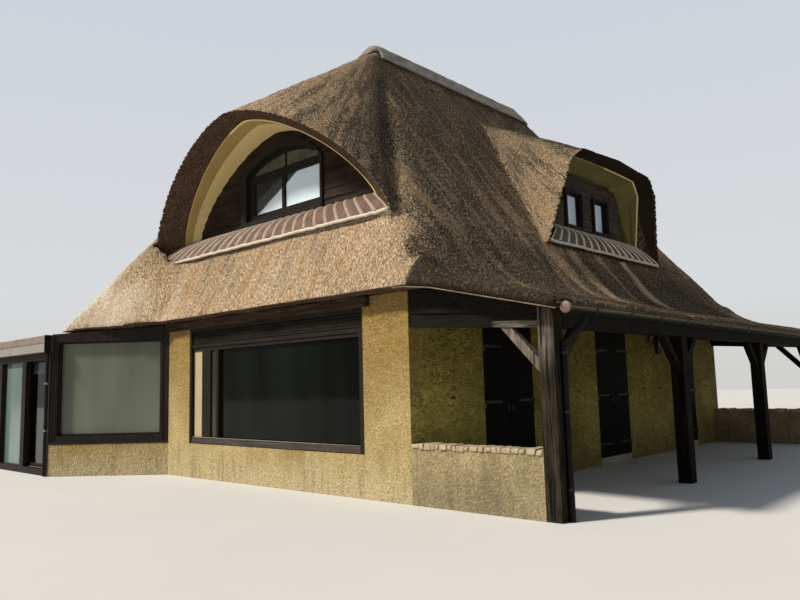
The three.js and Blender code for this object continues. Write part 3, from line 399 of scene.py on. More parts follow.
UPRIGHT, ALONG_X, ALONG_Y = (34.0, 34.0, 1.7), (1.7, 34.0, 34.0), (34.0, 1.7, 34.0)
post_oak = timber("weathered_and_sunlit_oak", (0.004, 0.0034, 0.002), (0.062, 0.053, 0.035), UPRIGHT, 0.82, 0.8, 0.5,
                  rain_and_sun_mask=on_post)
beam_oak = timber("dark_oak_beam", (0.006, 0.005, 0.0035), (0.026, 0.021, 0.015), ALONG_Y, 0.8)
end_oak = timber("dark_oak_end_beam", (0.006, 0.005, 0.0038), (0.022, 0.018, 0.013), ALONG_X, 0.8,
                 rain_and_sun_mask=on_beam_end)
board_front = timber("weatherboard_front", (0.017, 0.012, 0.009), (0.07, 0.049, 0.035), ALONG_X, 0.75,
                     0.6, 0.5)
board_side = timber("weatherboard_side", (0.035, 0.031, 0.023), (0.13, 0.112, 0.083), ALONG_Y, 0.75,
                    0.6, 0.5)
frame_paint = timber("dark_frame_paint", (0.015, 0.0118, 0.0098), (0.031, 0.0247, 0.0205), UPRIGHT, 0.5,
                     0.0, 0.3, 0.08)
rail_paint = timber("worn_rail_paint", (0.04, 0.033, 0.029), (0.085, 0.07, 0.06), ALONG_X, 0.5, 0.0, 0.3, 0.1)
# The doors' near-black is a dark stain with the gallery's shade painted in.
door_stain_and_shade = timber("door_stain_and_shade", (0.0015, 0.0014, 0.001), (0.005, 0.0043, 0.0034), UPRIGHT, 0.7,
                    0.4, 0.4, 0.2)
head_oak = timber("head_oak", (0.02, 0.0135, 0.009), (0.115, 0.075, 0.045), ALONG_X, 0.75, 0.6, 0.5)
pale_lath = timber("pale_lath", (0.12, 0.09, 0.055), (0.36, 0.29, 0.2), ALONG_X, 0.75, 0.3, 0.5)
red_lath = timber("red_lath", (0.12, 0.066, 0.04), (0.34, 0.21, 0.135), ALONG_Y, 0.75, 0.3, 0.5)
shaded_oak = timber("shaded_oak", (0.004, 0.0034, 0.0025), (0.022, 0.0185, 0.013), UPRIGHT, 0.82, 0.8, 0.5)
print("finishes so far:", len(bpy.data.materials))

# %% [markdown]
# ## Plaster, mortar, tile, stone and metal
# The smaller finishes share one recipe: two tones mixed by blotches, with shade painted in the pits of a fine
# tooth. What tells plaster from stone is the size and strength of that tooth.

# %% Small finishes
def coated(name, pale, deep, rough=(0.7, 0.95), wide=2.0, tooth=70.0, strength=0.3, depth=0.006, pits=0.3,
           **plain):
    g = Finish(name)
    effect = g.weather(wide, tooth)
    # The pits of the tooth are painted darker, as shade.
    wear_and_pit_shade = g.remap(effect["Tooth"], 0.34, 0.52, pits, 0.0)
    colour = g.blend(effect["Blotch"], pale, deep)
    colour = g.blend(wear_and_pit_shade, colour, darker(deep, 0.3))
    return g.done(colour, g.rough(effect["Blotch"], *rough), effect["Tooth"], strength, depth, **plain)


cream_plaster = coated("cream_plaster", (0.88, 0.69, 0.32), (0.76, 0.59, 0.26), wide=1.3, pits=0.08,
                       strength=0.15)
shaded_tan_plaster = coated("shaded_tan_plaster", (0.5, 0.36, 0.13), (0.42, 0.3, 0.1), wide=1.3, pits=0.12, strength=0.2)
olive_plaster = coated("olive_plaster", (0.22, 0.195, 0.06), (0.165, 0.145, 0.042), wide=1.3, pits=0.1,
                       strength=0.2)
pale_mortar = coated("pale_mortar", (0.36, 0.31, 0.245), (0.26, 0.22, 0.17), wide=6, tooth=90, strength=0.4)
bead_mortar = coated("bead_mortar", (0.7, 0.63, 0.51), (0.56, 0.49, 0.39), wide=9, tooth=80, strength=0.4)
ridge_mortar = coated("ridge_mortar", (0.27, 0.245, 0.21), (0.16, 0.14, 0.115), wide=3, tooth=40,
                      strength=0.6, depth=0.012)
red_tile = coated("red_tile", (0.17, 0.085, 0.055), (0.1, 0.054, 0.038), wide=5, tooth=110, strength=0.25)
buff_tile = coated("buff_tile", (0.12, 0.1, 0.065), (0.075, 0.062, 0.042), wide=5, tooth=110, strength=0.25)
coping_stone = coated("coping_stone", (0.5, 0.41, 0.26), (0.32, 0.26, 0.16), wide=9, tooth=45, strength=0.7,
                      depth=0.015)
floor_screed = coated("floor_screed", (0.42, 0.38, 0.32), (0.3, 0.27, 0.22), wide=1.2, tooth=60, strength=0.2)
beige_panel = coated("beige_panel", (0.44, 0.35, 0.22), (0.38, 0.3, 0.18), wide=1.5, tooth=120, strength=0.05,
                     pits=0.04)
dark_pipe = coated("painted_pipe", (0.004, 0.0037, 0.003), (0.002, 0.0018, 0.0015), (0.45, 0.65), 3, 90, 0.1,
                   Specular_IOR_Level=0.15)
copper_pink = coated("pink_end_cap", (0.21, 0.13, 0.108), (0.12, 0.075, 0.064), (0.5, 0.8), 12, 90, 0.2)
black_iron = coated("black_iron", (0.03, 0.027, 0.024), (0.05, 0.035, 0.026), (0.4, 0.75), 14, 120, 0.35,
                    Metallic=0.7)
grey_fascia = coated("grey_fascia", (0.3, 0.285, 0.255), (0.22, 0.205, 0.18), (0.5, 0.75), 2, 90, 0.12)
pink_felt = coated("roof_edge_cap", (0.25, 0.185, 0.15), (0.18, 0.135, 0.108), wide=4, tooth=90, strength=0.3)
grey_felt = coated("roof_felt", (0.17, 0.165, 0.155), (0.11, 0.105, 0.1), wide=1.5, tooth=160, strength=0.5)
# A pale lip colour that paints a highlight.
highlight_lip = coated("painted_highlight_lip", (0.42, 0.43, 0.36), (0.26, 0.27, 0.21), (0.35, 0.6), 9, 80, 0.1)
dull_lip = coated("dull_gutter_lip", (0.13, 0.135, 0.095), (0.07, 0.074, 0.05), (0.5, 0.7), 9, 80, 0.1,
                  Specular_IOR_Level=0.2)
pale_clamp = coated("pale_clamp", (0.2, 0.19, 0.17), (0.14, 0.135, 0.12), (0.4, 0.6), 9, 80, 0.1)
slat_paint = coated("shutter_slats", (0.014, 0.0115, 0.0085), (0.009, 0.0075, 0.0055), (0.5, 0.7), 2, 120,
                    0.08, Specular_IOR_Level=0.08)
white_blind = coated("white_blind", (0.62, 0.65, 0.6), (0.54, 0.57, 0.53), wide=3, tooth=200, strength=0.1,
                     pits=0.05)


def gutter_zinc():
    """Zinc that is dull green along its rim and sinks into shade below."""
    g = Finish("weathered_zinc")
    effect = g.weather(3.0, 80.0)
    rim = g.remap(g.axis(g.where, "Z"), 2.425, 2.447)
    green = g.blend(effect["Blotch"], (0.07, 0.078, 0.045), (0.04, 0.045, 0.026))
    colour = g.blend(rim, (0.004, 0.0045, 0.003), green)
    return g.done(colour, g.rough(effect["Tooth"], 0.6, 0.8), effect["Tooth"], 0.12, 0.005,
                  Specular_IOR_Level=0.08)


zinc = gutter_zinc()
print("finishes so far:", len(bpy.data.materials))

# %% [markdown]
# ## Glass
# Seen from outside the front window's pane is dark, its near-black tint painting the shade of the room
# behind. Most of the dormers' panes carry a pale blue tint that paints the sky they mirror, and the annex's
# are in between, so each glass is a glossy coat over a soft, uneven tint of its own. On the arched window the
# hood's shadow is painted as well. The canted window has a pale net behind it and reads grey-green. Only the
# annex's sliding pane lets light through.

# %% Glass
# The hood's shadow painted on the arched window: its colour, then its slanting edge.
HOOD_SHADOW_TINT = (0.03, 0.034, 0.028)
SHADOW_FOOT, SHADOW_RISE = 7.44, 0.5  # the slanting edge of the hood's shadow on the arched window


def pane_glass(name, deep, pale, rough=0.06, wide=0.6, shaded=False, **plain):
    g = Finish(name)
    depths = g.noise(g.stretch(g.where, (1.6, 1.6, 0.35)), wide, 3.0)
    smears = g.weather(2.5, 8.0)
    colour = g.blend(g.remap(depths, 0.35, 0.7), deep, pale)
    # A shaded pane has the hood's shadow painted on it, above a slanting line.
    if shaded:
        line = g.minus(g.axis(g.where, "Z"), g.times(g.axis(g.where, "X"), SHADOW_RISE))
        line = g.plus(line, g.times(depths, 0.12))
        colour = g.blend(g.remap(line, SHADOW_FOOT, SHADOW_FOOT + 0.04), colour, HOOD_SHADOW_TINT)
    return g.done(colour, g.rough(smears["Blotch"], rough * 0.6, rough * 1.5), smears["Tooth"], 0.02, 0.002,
                  **plain)


# The near-black tint paints the shade of the unlit room behind the pane.
dark_glass = pane_glass("dark_glass", (0.001, 0.0015, 0.001), (0.006, 0.008, 0.005), 0.05,
                        Specular_IOR_Level=0.11)
strip_glass = pane_glass("strip_glass", (0.02, 0.022, 0.013), (0.035, 0.037, 0.023), 0.1,
                         Specular_IOR_Level=0.3)
net_glass = pane_glass("net_behind_glass", (0.105, 0.118, 0.082), (0.145, 0.158, 0.115), 0.14, 1.1,
                       Specular_IOR_Level=0.4)
annex_pane = pane_glass("annex_pane", (0.1, 0.145, 0.137), (0.165, 0.22, 0.208), 0.12, 0.9, IOR=1.5)
# The pale blue tints of the dormers' panes paint a reflected sky.
sky_reflection_pane = pane_glass("dormer_pane_sky_reflection", (0.48, 0.65, 0.76), (0.76, 0.92, 1.0), 0.08, 0.8, IOR=1.5)
arch_sky_reflection_pane = pane_glass("arched_window_sky_reflection", (0.74, 0.88, 0.98), (0.84, 0.96, 1.0), 0.08, 0.8, True, IOR=1.5)
khaki_pane = pane_glass("dormer_head_pane", (0.075, 0.075, 0.05), (0.12, 0.12, 0.08), 0.1, 1.6, IOR=1.5)
clear_pane = pane_glass("sliding_pane", (0.24, 0.31, 0.3), (0.3, 0.37, 0.36), 0.03, IOR=1.45,
                        Specular_IOR_Level=0.2, Transmission_Weight=1.0)
print("finishes so far:", len(bpy.data.materials))

# %% [markdown]
# ## Reed
# Thatch is a skin of reed ends, dressed flat with a legget: from afar it shows short dashes along the
# slope and wide streaks where the reed has weathered unevenly. A texture can't know which way each slope
# falls, so the mesh carries its own coordinates, across and down the slope, and a weight between two such
# sets at the hips.

# %% Group: dashes and streaks of reed
g, into, out = new_group("reed_ends", [("Vector", "Vector", None)], ["Dash", "Streak", "Butt"])
g.feed(out["Dash"], g.noise(g.stretch(into["Vector"], (46.0, 18.0, 1.0)), 1.0, 3.0, 0.75))
g.feed(out["Streak"], g.noise(g.stretch(into["Vector"], (4.2, 0.75, 1.0)), 1.0, 6.0, 0.68))
g.feed(out["Butt"], g.cells(g.stretch(into["Vector"], (66.0, 26.0, 1.0)), 1.0))
reeds = g.tree
print("group:", reeds.name)

# %% The thatch finish
GOLD_REED = ((0.0, (0.21, 0.14, 0.08)), (0.34, (0.42, 0.302, 0.194)), (0.66, (0.61, 0.472, 0.325)),
             (1.0, (0.88, 0.735, 0.55)))
GOLD_STREAKS = (0.0, (0.68, 0.59, 0.47)), (0.45, (0.92, 0.88, 0.82)), (1.0, (1.0, 1.0, 1.0))
GREY_REED = ((0.0, (0.006, 0.004, 0.002)), (0.38, (0.036, 0.026, 0.0145)), (0.66, (0.145, 0.107, 0.064)),
             (1.0, (0.52, 0.41, 0.275)))
CUT_REED = (0.0, (0.036, 0.022, 0.0145)), (0.5, (0.105, 0.062, 0.04)), (1.0, (0.26, 0.165, 0.108))
# The near-black cut colour paints deep shade on cut faces.
PALE_STRAW, CUT_SHADE, CUT_DEEP_SHADE = (0.88, 0.785, 0.655), (0.04, 0.026, 0.018), (0.012, 0.011, 0.007)


def make_thatch_finish():
    g = Finish("reed_thatch")
    sets = [g.node("Group", {"Vector": g.mesh_value(name, "Vector")}, node_tree=reeds).outputs
            for name in ("reed_a", "reed_b")]
    share = g.mesh_value("reed_mix")
    dash, streak, butt = (g.mix(share, *(outputs[label] for outputs in sets))
                          for label in ("Dash", "Streak", "Butt"))
    age = g.mesh_value("age")
    cut = g.remap(g.mesh_value("cut"), 0.3, 0.7)
    sharp = g.remap(dash, 0.39, 0.62)
    wear_and_pit_shade = g.remap(streak, 0.4, 0.6)
    gold = g.blend(1.0, g.ramp(sharp, *GOLD_REED), g.ramp(wear_and_pit_shade, *GOLD_STREAKS), "MULTIPLY")
    # Below 0 the reed turns to pale straw: in paler streaks, and where a slope faces the sun, as painted
    # light.
    gold = g.blend(g.remap(age, 0.0, -0.5, 0.0, 0.7), gold, PALE_STRAW)
    ageing_and_shade = g.plus(age, g.times(g.minus(wear_and_pit_shade, 0.5), 0.85))
    colour = g.blend(g.node("Clamp", {"Value": ageing_and_shade}).outputs[0], gold, g.ramp(sharp, *GREY_REED))
    # Past 1 the colour is darkened further, as painted shade.
    colour = g.shade(colour, g.remap(ageing_and_shade, 0.95, 1.9, 1.0, 0.36))
    ends = g.cells(g.where, 70.0)
    clump = g.weather(4.5, 34.0)
    trimmed = g.ramp(g.remap(clump["Tooth"], 0.34, 0.66), *CUT_REED)
    trimmed = g.blend(g.times(clump["Blotch"], 0.5), trimmed, CUT_SHADE)
    # Where the value is high the cut faces are painted near black, as deep shade.
    trimmed = g.blend(g.remap(age, 1.1, 1.5, 0.0, 0.8), trimmed, CUT_DEEP_SHADE)
    pile = g.plus(g.times(dash, 1.3), g.times(butt, -0.45))
    pile = g.plus(pile, g.times(streak, 0.25))
    stipple = g.minus(clump["Tooth"], g.times(ends, 0.5))
    height = g.mix(cut, pile, stipple)
    return g.done(g.blend(cut, colour, trimmed), g.rough(dash, 0.82, 0.98), height, 0.95, 0.027,
                  Specular_IOR_Level=0.12)


reed_thatch = make_thatch_finish()
print("finish:", reed_thatch.name)

# %% [markdown]
# ## One soft body of thatch
# The solids of the frame meet in crisp creases, but reed is laid in one coat that rolls over every hip.
# The seven thatch solids are joined with a plain block in the attic's place, then rebuilt as one even
# skin by the Remesh modifier's voxels. The attic is closed off inside, so that no face is spent where
# nobody can look.

# %% Join the thatch solids
THATCH = ["thatch_front", "thatch_right", "thatch_rear", "thatch_left", "thatch_gallery",
          "front_dormer_thatch", "side_dormer_thatch"]
FRONT, RIGHT, REAR, LEFT, GALLERY, FRONT_HOOD, SIDE_HOOD = range(7)
ATTIC_LEVELS = [  # height, then left, right, front and rear, each just inside the thatch
    (2.97, -8.42, 0.06, -0.06, 11.96), (4.28, -7.45, -0.6, 0.7, 11.35), (8.45, -4.1, -3.9, 3.62, 8.76)]
VOXEL = 0.055


def read(items, label, width, kind=float):
    """One property of every item of a mesh, as rows of the given width."""
    values = np.empty(len(items) * width, kind)
    items.foreach_get(label, values)
    return values.reshape(-1, width)


def node_arrays(name):
    """A node's points in the walls' measures, and its triangles."""
    mesh = nodes[name].data
    mesh.calc_loop_triangles()
    return read(mesh.vertices, "co", 3) - np.array(SHIFT), read(mesh.loop_triangles, "vertices", 3, np.int32)


def attic_block():
    """A plain closed block that fills the attic, as points and triangles."""
    points = [(x, y, z) for z, left, right, front, rear in ATTIC_LEVELS
              for x, y in ((left, front), (right, front), (right, rear), (left, rear))]
    faces = [(3, 2, 1, 0), (8, 9, 10, 11)]
    for low in (0, 4):
        faces += [(low + i, low + (i + 1) % 4, low + 4 + (i + 1) % 4, low + 4 + i) for i in range(4)]
    return np.array(points), [(f[0], f[1], f[2]) for f in faces] + [(f[0], f[2], f[3]) for f in faces]


def stacked(parts):
    """Several parts, each points and faces, as one."""
    points, faces, start_at = [], [], 0
    for part_points, part_faces in parts:
        points.append(np.asarray(part_points, float).reshape(-1, 3))
        faces += [[i + start_at for i in face] for face in part_faces]
        start_at += len(part_points)
    return np.concatenate(points), faces


def voxel_skin(points, faces, voxel):
    """The even quad skin of a closed form: its points, its quads and its edges."""
    mesh = bpy.data.meshes.new("solid")
    mesh.from_pydata(points.tolist(), [], faces)
    solid = bpy.data.objects.new("solid", mesh)
    scene.collection.objects.link(solid)
    remesh = solid.modifiers.new("skin", "REMESH")
    remesh.mode, remesh.voxel_size = "VOXEL", voxel
    skin = bpy.data.meshes.new_from_object(solid.evaluated_get(bpy.context.evaluated_depsgraph_get()))
    quads = read(skin.loops, "vertex_index", 1, np.int32).reshape(-1, 4)
    found = read(skin.vertices, "co", 3), quads, read(skin.edges, "vertices", 2, np.int32)
    for spare in (skin, mesh):
        bpy.data.meshes.remove(spare)
    return found


solids = {name: node_arrays(name) for name in THATCH}
skin_points, skin_quads, skin_edges = voxel_skin(*stacked([*solids.values(), attic_block()]), VOXEL)
print("thatch skin:", len(skin_points), "points,", len(skin_quads), "quads")

# %% [markdown]
# ## Rounding the hips, keeping the cut edges
# Averaging each point with its neighbours rounds a form, and a weight says how much. The mouths of the
# dormers were trimmed with a knife, so the points on those edges keep their place and those near them
# move little, while the hips and eaves are rounded in full.

# %% Mouth edges and how near a point is to them
def curve_of(half, rise, depth, base, lean, power=None, top=None, crown=0.0):
    """A dormer's edge as (along, depth, up) from its foot, from right to left."""
    def bend(v):
        return math.copysign(abs(v) ** (2 / power), v)

    if power:
        turns = [math.pi * i / 56 for i in range(57)]
        flat = [(half * bend(math.cos(a)), rise * bend(abs(math.sin(a)))) for a in turns]
    else:
        shoulder = top + (half - top) * 0.16
        right = [(half, 0), (shoulder, rise * 0.84), (top * 0.84, rise + crown * 0.3)]
        flat = right + [(0, rise + crown)] + [(-a, h) for a, h in reversed(right)]
    return [(a, depth - h * math.sin(lean), base + h * math.cos(lean)) for a, h in flat]


class Dormer:
    """A dormer's own measures, from the middle of its foot: along its front, inwards and up."""

    def __init__(self, foot, deep, outer, inner, board):
        self.foot = np.array(foot)
        self.deep = deep  # the axis that points inwards
        self.edges = {"outer": outer, "inner": inner, "board": board}

    def turn(self, along, inwards, up):
        return np.array((along, inwards, up) if self.deep == 1 else (-inwards, along, up))

    def at(self, along, inwards, up):
        return self.foot + self.turn(along, inwards, up)

    def line(self, name):
        return np.array([self.at(*spot) for spot in self.edges[name]])


front_dormer = Dormer((-4.0, 0.264, 4.266), 1,
                      outer=curve_of(3.475, 2.401, 0, 0, 0.276, power=1.546),
                      inner=curve_of(2.876, 2.033, 0.357, 0.316, 0.276, power=1.449),
                      board=curve_of(2.61, 1.723, 0.558, 0.522, 0, power=1.54))
side_dormer = Dormer((-0.1, 6.55, 4.23), 0,
                     outer=curve_of(2.45, 1.9, 0, 0, 0.157, top=1.83, crown=0.11),
                     inner=curve_of(1.85, 1.59, 0.29, 0.285, 0.157, top=1.66, crown=0.04),
                     board=curve_of(1.81, 1.24, 0.52, 0.54, 0, top=1.45, crown=0.02))


def nearest_on_lines(points, lines):
    """How far each point is from the nearest of the lines, and the spot on it."""
    nearest, spots = np.full(len(points), 1e9), points.copy()
    for line in lines:
        for here, there in zip(line[:-1], line[1:]):
            along = there - here
            share = np.clip((points - here) @ along / (along @ along), 0, 1)
            spot = here + share[:, None] * along
            far = np.linalg.norm(points - spot, axis=1)
            closer = far < nearest
            nearest[closer], spots[closer] = far[closer], spot[closer]
    return nearest, spots


def soft_step(value, low, high):
    """A value eased from 0 at low to 1 at high."""
    share = np.clip((value - low) / (high - low), 0, 1)
    return share * share * (3 - 2 * share)


mouth_lines = [dormer.line(name) for dormer in (front_dormer, side_dormer) for name in ("outer", "inner")]
from_mouth = nearest_on_lines(skin_points, mouth_lines)[0]
print("points near a mouth's edge:", int((from_mouth < 0.1).sum()))

# %% Round the skin
RELAX_ROUNDS = 14
CHAIN_REACH = 0.3  # how far from a mouth's edge its chain of points may stray


def sums(places, values, count):
    """The sum of the values that fall on each place, for x, y and z."""
    return np.stack([np.bincount(places, values[:, k], count) for k in range(3)], axis=1)


def relax(points, edges, weight, rounds):
    """Move each point towards the mean of its neighbours, by its weight, again and again."""
    a, b = edges.T
    count = np.bincount(edges.ravel(), minlength=len(points))[:, None]
    for _ in range(rounds):
        mean = (sums(a, points[b], len(points)) + sums(b, points[a], len(points))) / count
        points = points + (mean - points) * weight[:, None]
    return points


def normals_of(points, quads):
    face = np.cross(points[quads[:, 2]] - points[quads[:, 0]], points[quads[:, 3]] - points[quads[:, 1]])
    total = sums(quads.ravel(), np.repeat(face, 4, axis=0), len(points))
    return total / np.maximum(np.linalg.norm(total, axis=1, keepdims=True), 1e-9)


def chain_along(points, quads, line):
    """The shortest chain of points, from one end of a line to the other, that keeps close to it."""
    far = nearest_on_lines(points, [line])[0]
    near = far < CHAIN_REACH
    links = {}
    for quad in quads[near[quads].all(axis=1)].tolist():
        for i, j in ((0, 1), (1, 2), (2, 3), (3, 0), (0, 2), (1, 3)):
            a, b = quad[i], quad[j]
            cost = math.dist(points[a], points[b]) * (0.02 + far[a] + far[b]) ** 2
            links.setdefault(a, []).append((b, cost))
            links.setdefault(b, []).append((a, cost))
    first, last = (int(np.where(near, np.linalg.norm(points - end, axis=1), 9).argmin())
                   for end in (line[0], line[-1]))
    best, came, queue = {first: 0.0}, {}, [(0.0, first)]
    while queue:
        cost, here = heapq.heappop(queue)
        if here == last:
            break
        for there, more in links.get(here, ()):
            if cost + more < best.get(there, 1e9):
                best[there], came[there] = cost + more, here
                heapq.heappush(queue, (cost + more, there))
    chain = [last]
    while chain[-1] != first:
        chain.append(came[chain[-1]])
    return np.array(chain[::-1])


def run_of(line):
    """How far along a line each of its points lies."""
    return np.concatenate([[0], np.cumsum(np.linalg.norm(np.diff(line, axis=0), axis=1))])


def along_line(spots, line):
    """The spots moved onto a line, in their order, spaced as they were."""
    reach, passed = run_of(line), run_of(spots)
    passed *= reach[-1] / passed[-1]
    return np.stack([np.interp(passed, reach, line[:, k]) for k in range(3)], axis=1)


on_edge = np.zeros(len(skin_points), bool)
for line in mouth_lines:
    chain = chain_along(skin_points, skin_quads, line)
    skin_points[chain] = along_line(nearest_on_lines(skin_points[chain], [line])[1], line)
    on_edge[chain] = True
softness = np.where(on_edge, 0.0, 0.25 + 0.25 * soft_step(from_mouth, 0.03, 0.22))
skin_points = relax(skin_points, skin_edges, softness, RELAX_ROUNDS)
folded = on_edge[skin_quads[:, 1]] & on_edge[skin_quads[:, 3]]
skin_quads[folded] = np.roll(skin_quads[folded], 1, axis=1)
skin_normals = normals_of(skin_points, skin_quads)
print("rounded, with", int(on_edge.sum()), "points kept on the mouths' edges")

# %% [markdown]
# ## Hand-laid unevenness
# No two bundles of reed lie alike. A slow noise swells the coat by a couple of centimetres and a quick
# one roughens it, so that light rakes over real bumps. Near the mouths and on the gallery's verge, which
# are trimmed by hand, the coat is calmer.

# %% Swell and roughen
SWELL, RUFFLE, SINK = 0.022, 0.012, 0.008


def noise_at(points, scale, seed, depth=1):
    """Noise at each point, with finer and weaker layers where the depth is more than 1."""
    offset = Vector((seed * 13.1, seed * 7.7, seed * 3.3))
    return np.array([sum(noise.noise(Vector(p) * (scale * 2 ** k) + offset) / 2 ** k for k in range(depth))
                     for p in points.tolist()])


swell = noise_at(skin_points, 1.3, 1)
ruffle = noise_at(skin_points, 9.0, 2)
calm = 0.35 + 0.65 * soft_step(from_mouth, 0.02, 0.25)
calm *= 1 - 0.75 * soft_step(-skin_points[:, 1], -0.35, 0.05) * soft_step(skin_points[:, 0], -0.1, 0.3)
skin_points = skin_points + skin_normals * ((swell * SWELL + ruffle * RUFFLE) * calm - SINK)[:, None]
skin_normals = normals_of(skin_points, skin_quads)
print("swell from", round(float(swell.min()), 2), "to", round(float(swell.max()), 2))

# %% [markdown]
# ## Which slope each face belongs to
# The skin is shared out again to the slopes of the frame, because each piece stands for one node. The
# four main slopes part along lines in plan, and the dormers and the gallery claim whatever lies nearest
# to their solids.

# %% Share out the faces
RIDGE_FRONT, RIDGE_REAR = 3.48, 8.9


def tree_of(*names):
    points, faces = stacked([solids[name] for name in names])
    return BVHTree.FromPolygons(points.tolist(), faces)


def distances(tree, points, mask):
    """How far the masked points are from a solid; the others are given as far away."""
    found = np.full(len(points), 9.0)
    for i in np.flatnonzero(mask):
        found[i] = tree.find_nearest(Vector(points[i]))[3] or 0.0
    return found


def within(points, name, room=0.15):
    """Which points lie in or near the box of a solid."""
    low, high = solids[name][0].min(0) - room, solids[name][0].max(0) + room
    return ((points > low) & (points < high)).all(axis=1)


def past_hips(x, run, right, left):
    """Faces past the ridge's end and between two hips, each given as run and width in plan."""
    return (run > 0) & (run > np.where(x > 0, x * right[0] / right[1], -x * left[0] / left[1]))


centres = skin_points[skin_quads].mean(axis=1)
main_tree = tree_of(*THATCH[:GALLERY])
x, y = centres[:, 0] + 4.0, centres[:, 1]
owner = np.where(x > 0, RIGHT, LEFT)
owner[past_hips(x, RIDGE_FRONT - y, (3.83, 4.7), (4.83, 4.8))] = FRONT
owner[past_hips(x, y - RIDGE_REAR, (3.5, 4.7), (3.5, 4.8))] = REAR
claimed = {name: within(centres, name) for name in THATCH[GALLERY:]}
nearest = distances(main_tree, centres, np.any(list(claimed.values()), axis=0))
for index, name in enumerate(THATCH[GALLERY:], GALLERY):
    own = distances(tree_of(name), centres, claimed[name])
    closer = own < nearest - 1e-4
    owner[closer], nearest[closer] = index, own[closer]
print("faces:", {name: int((owner == i).sum()) for i, name in enumerate(THATCH)})

# %% [markdown]
# ## Coordinates for the reed
# Down a slope is height lost plus distance gone outwards, and across it is x on the front and rear and y
# on the sides. On a dormer's hood they are a distance and an angle, both taken from the point where its
# reed fans out.

# %% Across and down
HOOD_APEX = {FRONT_HOOD: np.array((-4.0, 3.48, 9.03)), SIDE_HOOD: np.array((-3.0, 6.55, 7.83))}
HOOD_FACE = {FRONT_HOOD: 0.0, SIDE_HOOD: -0.1}  # where the wall below each hood stands
HOOD_FOOT = 4.3


def hood_set(points, index):
    """Across and down a hood: the angle round its apex, and the distance from it."""
    apex = HOOD_APEX[index]
    deep, wide = (1, 0) if index == FRONT_HOOD else (0, 1)
    run = np.maximum(np.abs(apex[deep] - points[:, deep]), 0.35)
    share = abs(apex[deep] - HOOD_FACE[index]) / run
    across = apex[wide] + (points[:, wide] - apex[wide]) * share
    high = apex[2] + (points[:, 2] - apex[2]) * share
    turn = np.arctan2(across - apex[wide], high - HOOD_FOOT)
    return turn * 3.0, -np.linalg.norm(points - apex, axis=1)


def slope_sets(points, normals, index):
    """Two sets of coordinates across and down the slope, and how much of the second each point takes."""
    down_y = points[:, 2] * 0.8 - np.abs(points[:, 1] - 6.0) * 0.6
    down_x = points[:, 2] * 0.8 - np.abs(points[:, 0] + 4.0) * 0.6
    side_on = normals[:, 0] ** 2 / np.maximum(normals[:, 0] ** 2 + normals[:, 1] ** 2, 1e-6)
    share = soft_step(side_on, 0.3, 0.7)
    across, down = points[:, 0], down_y
    if index > GALLERY:
        across, down = hood_set(points, index)
        far = distances(main_tree, points, np.ones(len(points), bool))
        share = share * (1 - soft_step(far, 0.05, 0.4))
    a = np.stack([across, down, np.full(len(points), 0.37 * index)], axis=1)
    b = np.stack([points[:, 1] + 20, down_x, np.full(len(points), 0.0)], axis=1)
    return a, b, share


print("hoods fan from", [tuple(v) for v in HOOD_APEX.values()])

# %% [markdown]
# ## Age with painted shade, and cut
# Two more values ride on the mesh. Age and shade runs from the golden reed of the sunny apron to the
# grey-brown of the shaded slopes: the reed's weathering, with the light and shade that each slope gets
# painted into it. Cut marks the trimmed faces, where reed is seen end on: the mouths, the undersides and, in
# part, the gallery's verge.

# %% Age with painted shade, and cut
HEARTS = {FRONT_HOOD: np.array((-4.0, 0.9, 5.0)), SIDE_HOOD: np.array((-0.9, 6.55, 5.2))}
# Paler streaks on the gallery's apron: y, half width and how much.
PALE_STREAKS = [(7.2, 0.14, 1.4), (4.95, 0.16, 0.95), (6.1, 0.08, 0.7), (4.2, 0.2, 0.5)]


def cut_of(points, normals, index):
    """1 where reed is seen end on: below, inside the mouths and, in part, on the gallery's verge."""
    under = soft_step(-normals[:, 2], 0.25, 0.55)
    if index in HEARTS:
        to_heart = HEARTS[index] - points
        inward = (to_heart * normals).sum(axis=1) / np.linalg.norm(to_heart, axis=1)
        shallow = points[:, 1] < 0.95 if index == FRONT_HOOD else points[:, 0] > -0.75
        under = np.maximum(under, soft_step(inward, 0.12, 0.3) * shallow)
    if index in (RIGHT, GALLERY):
        verge = soft_step(-normals[:, 1], 0.12, 0.38) * soft_step(points[:, 0], 0.05, 0.3)
        under = np.maximum(under, 0.56 * verge * (points[:, 1] < 0.4))
    return under


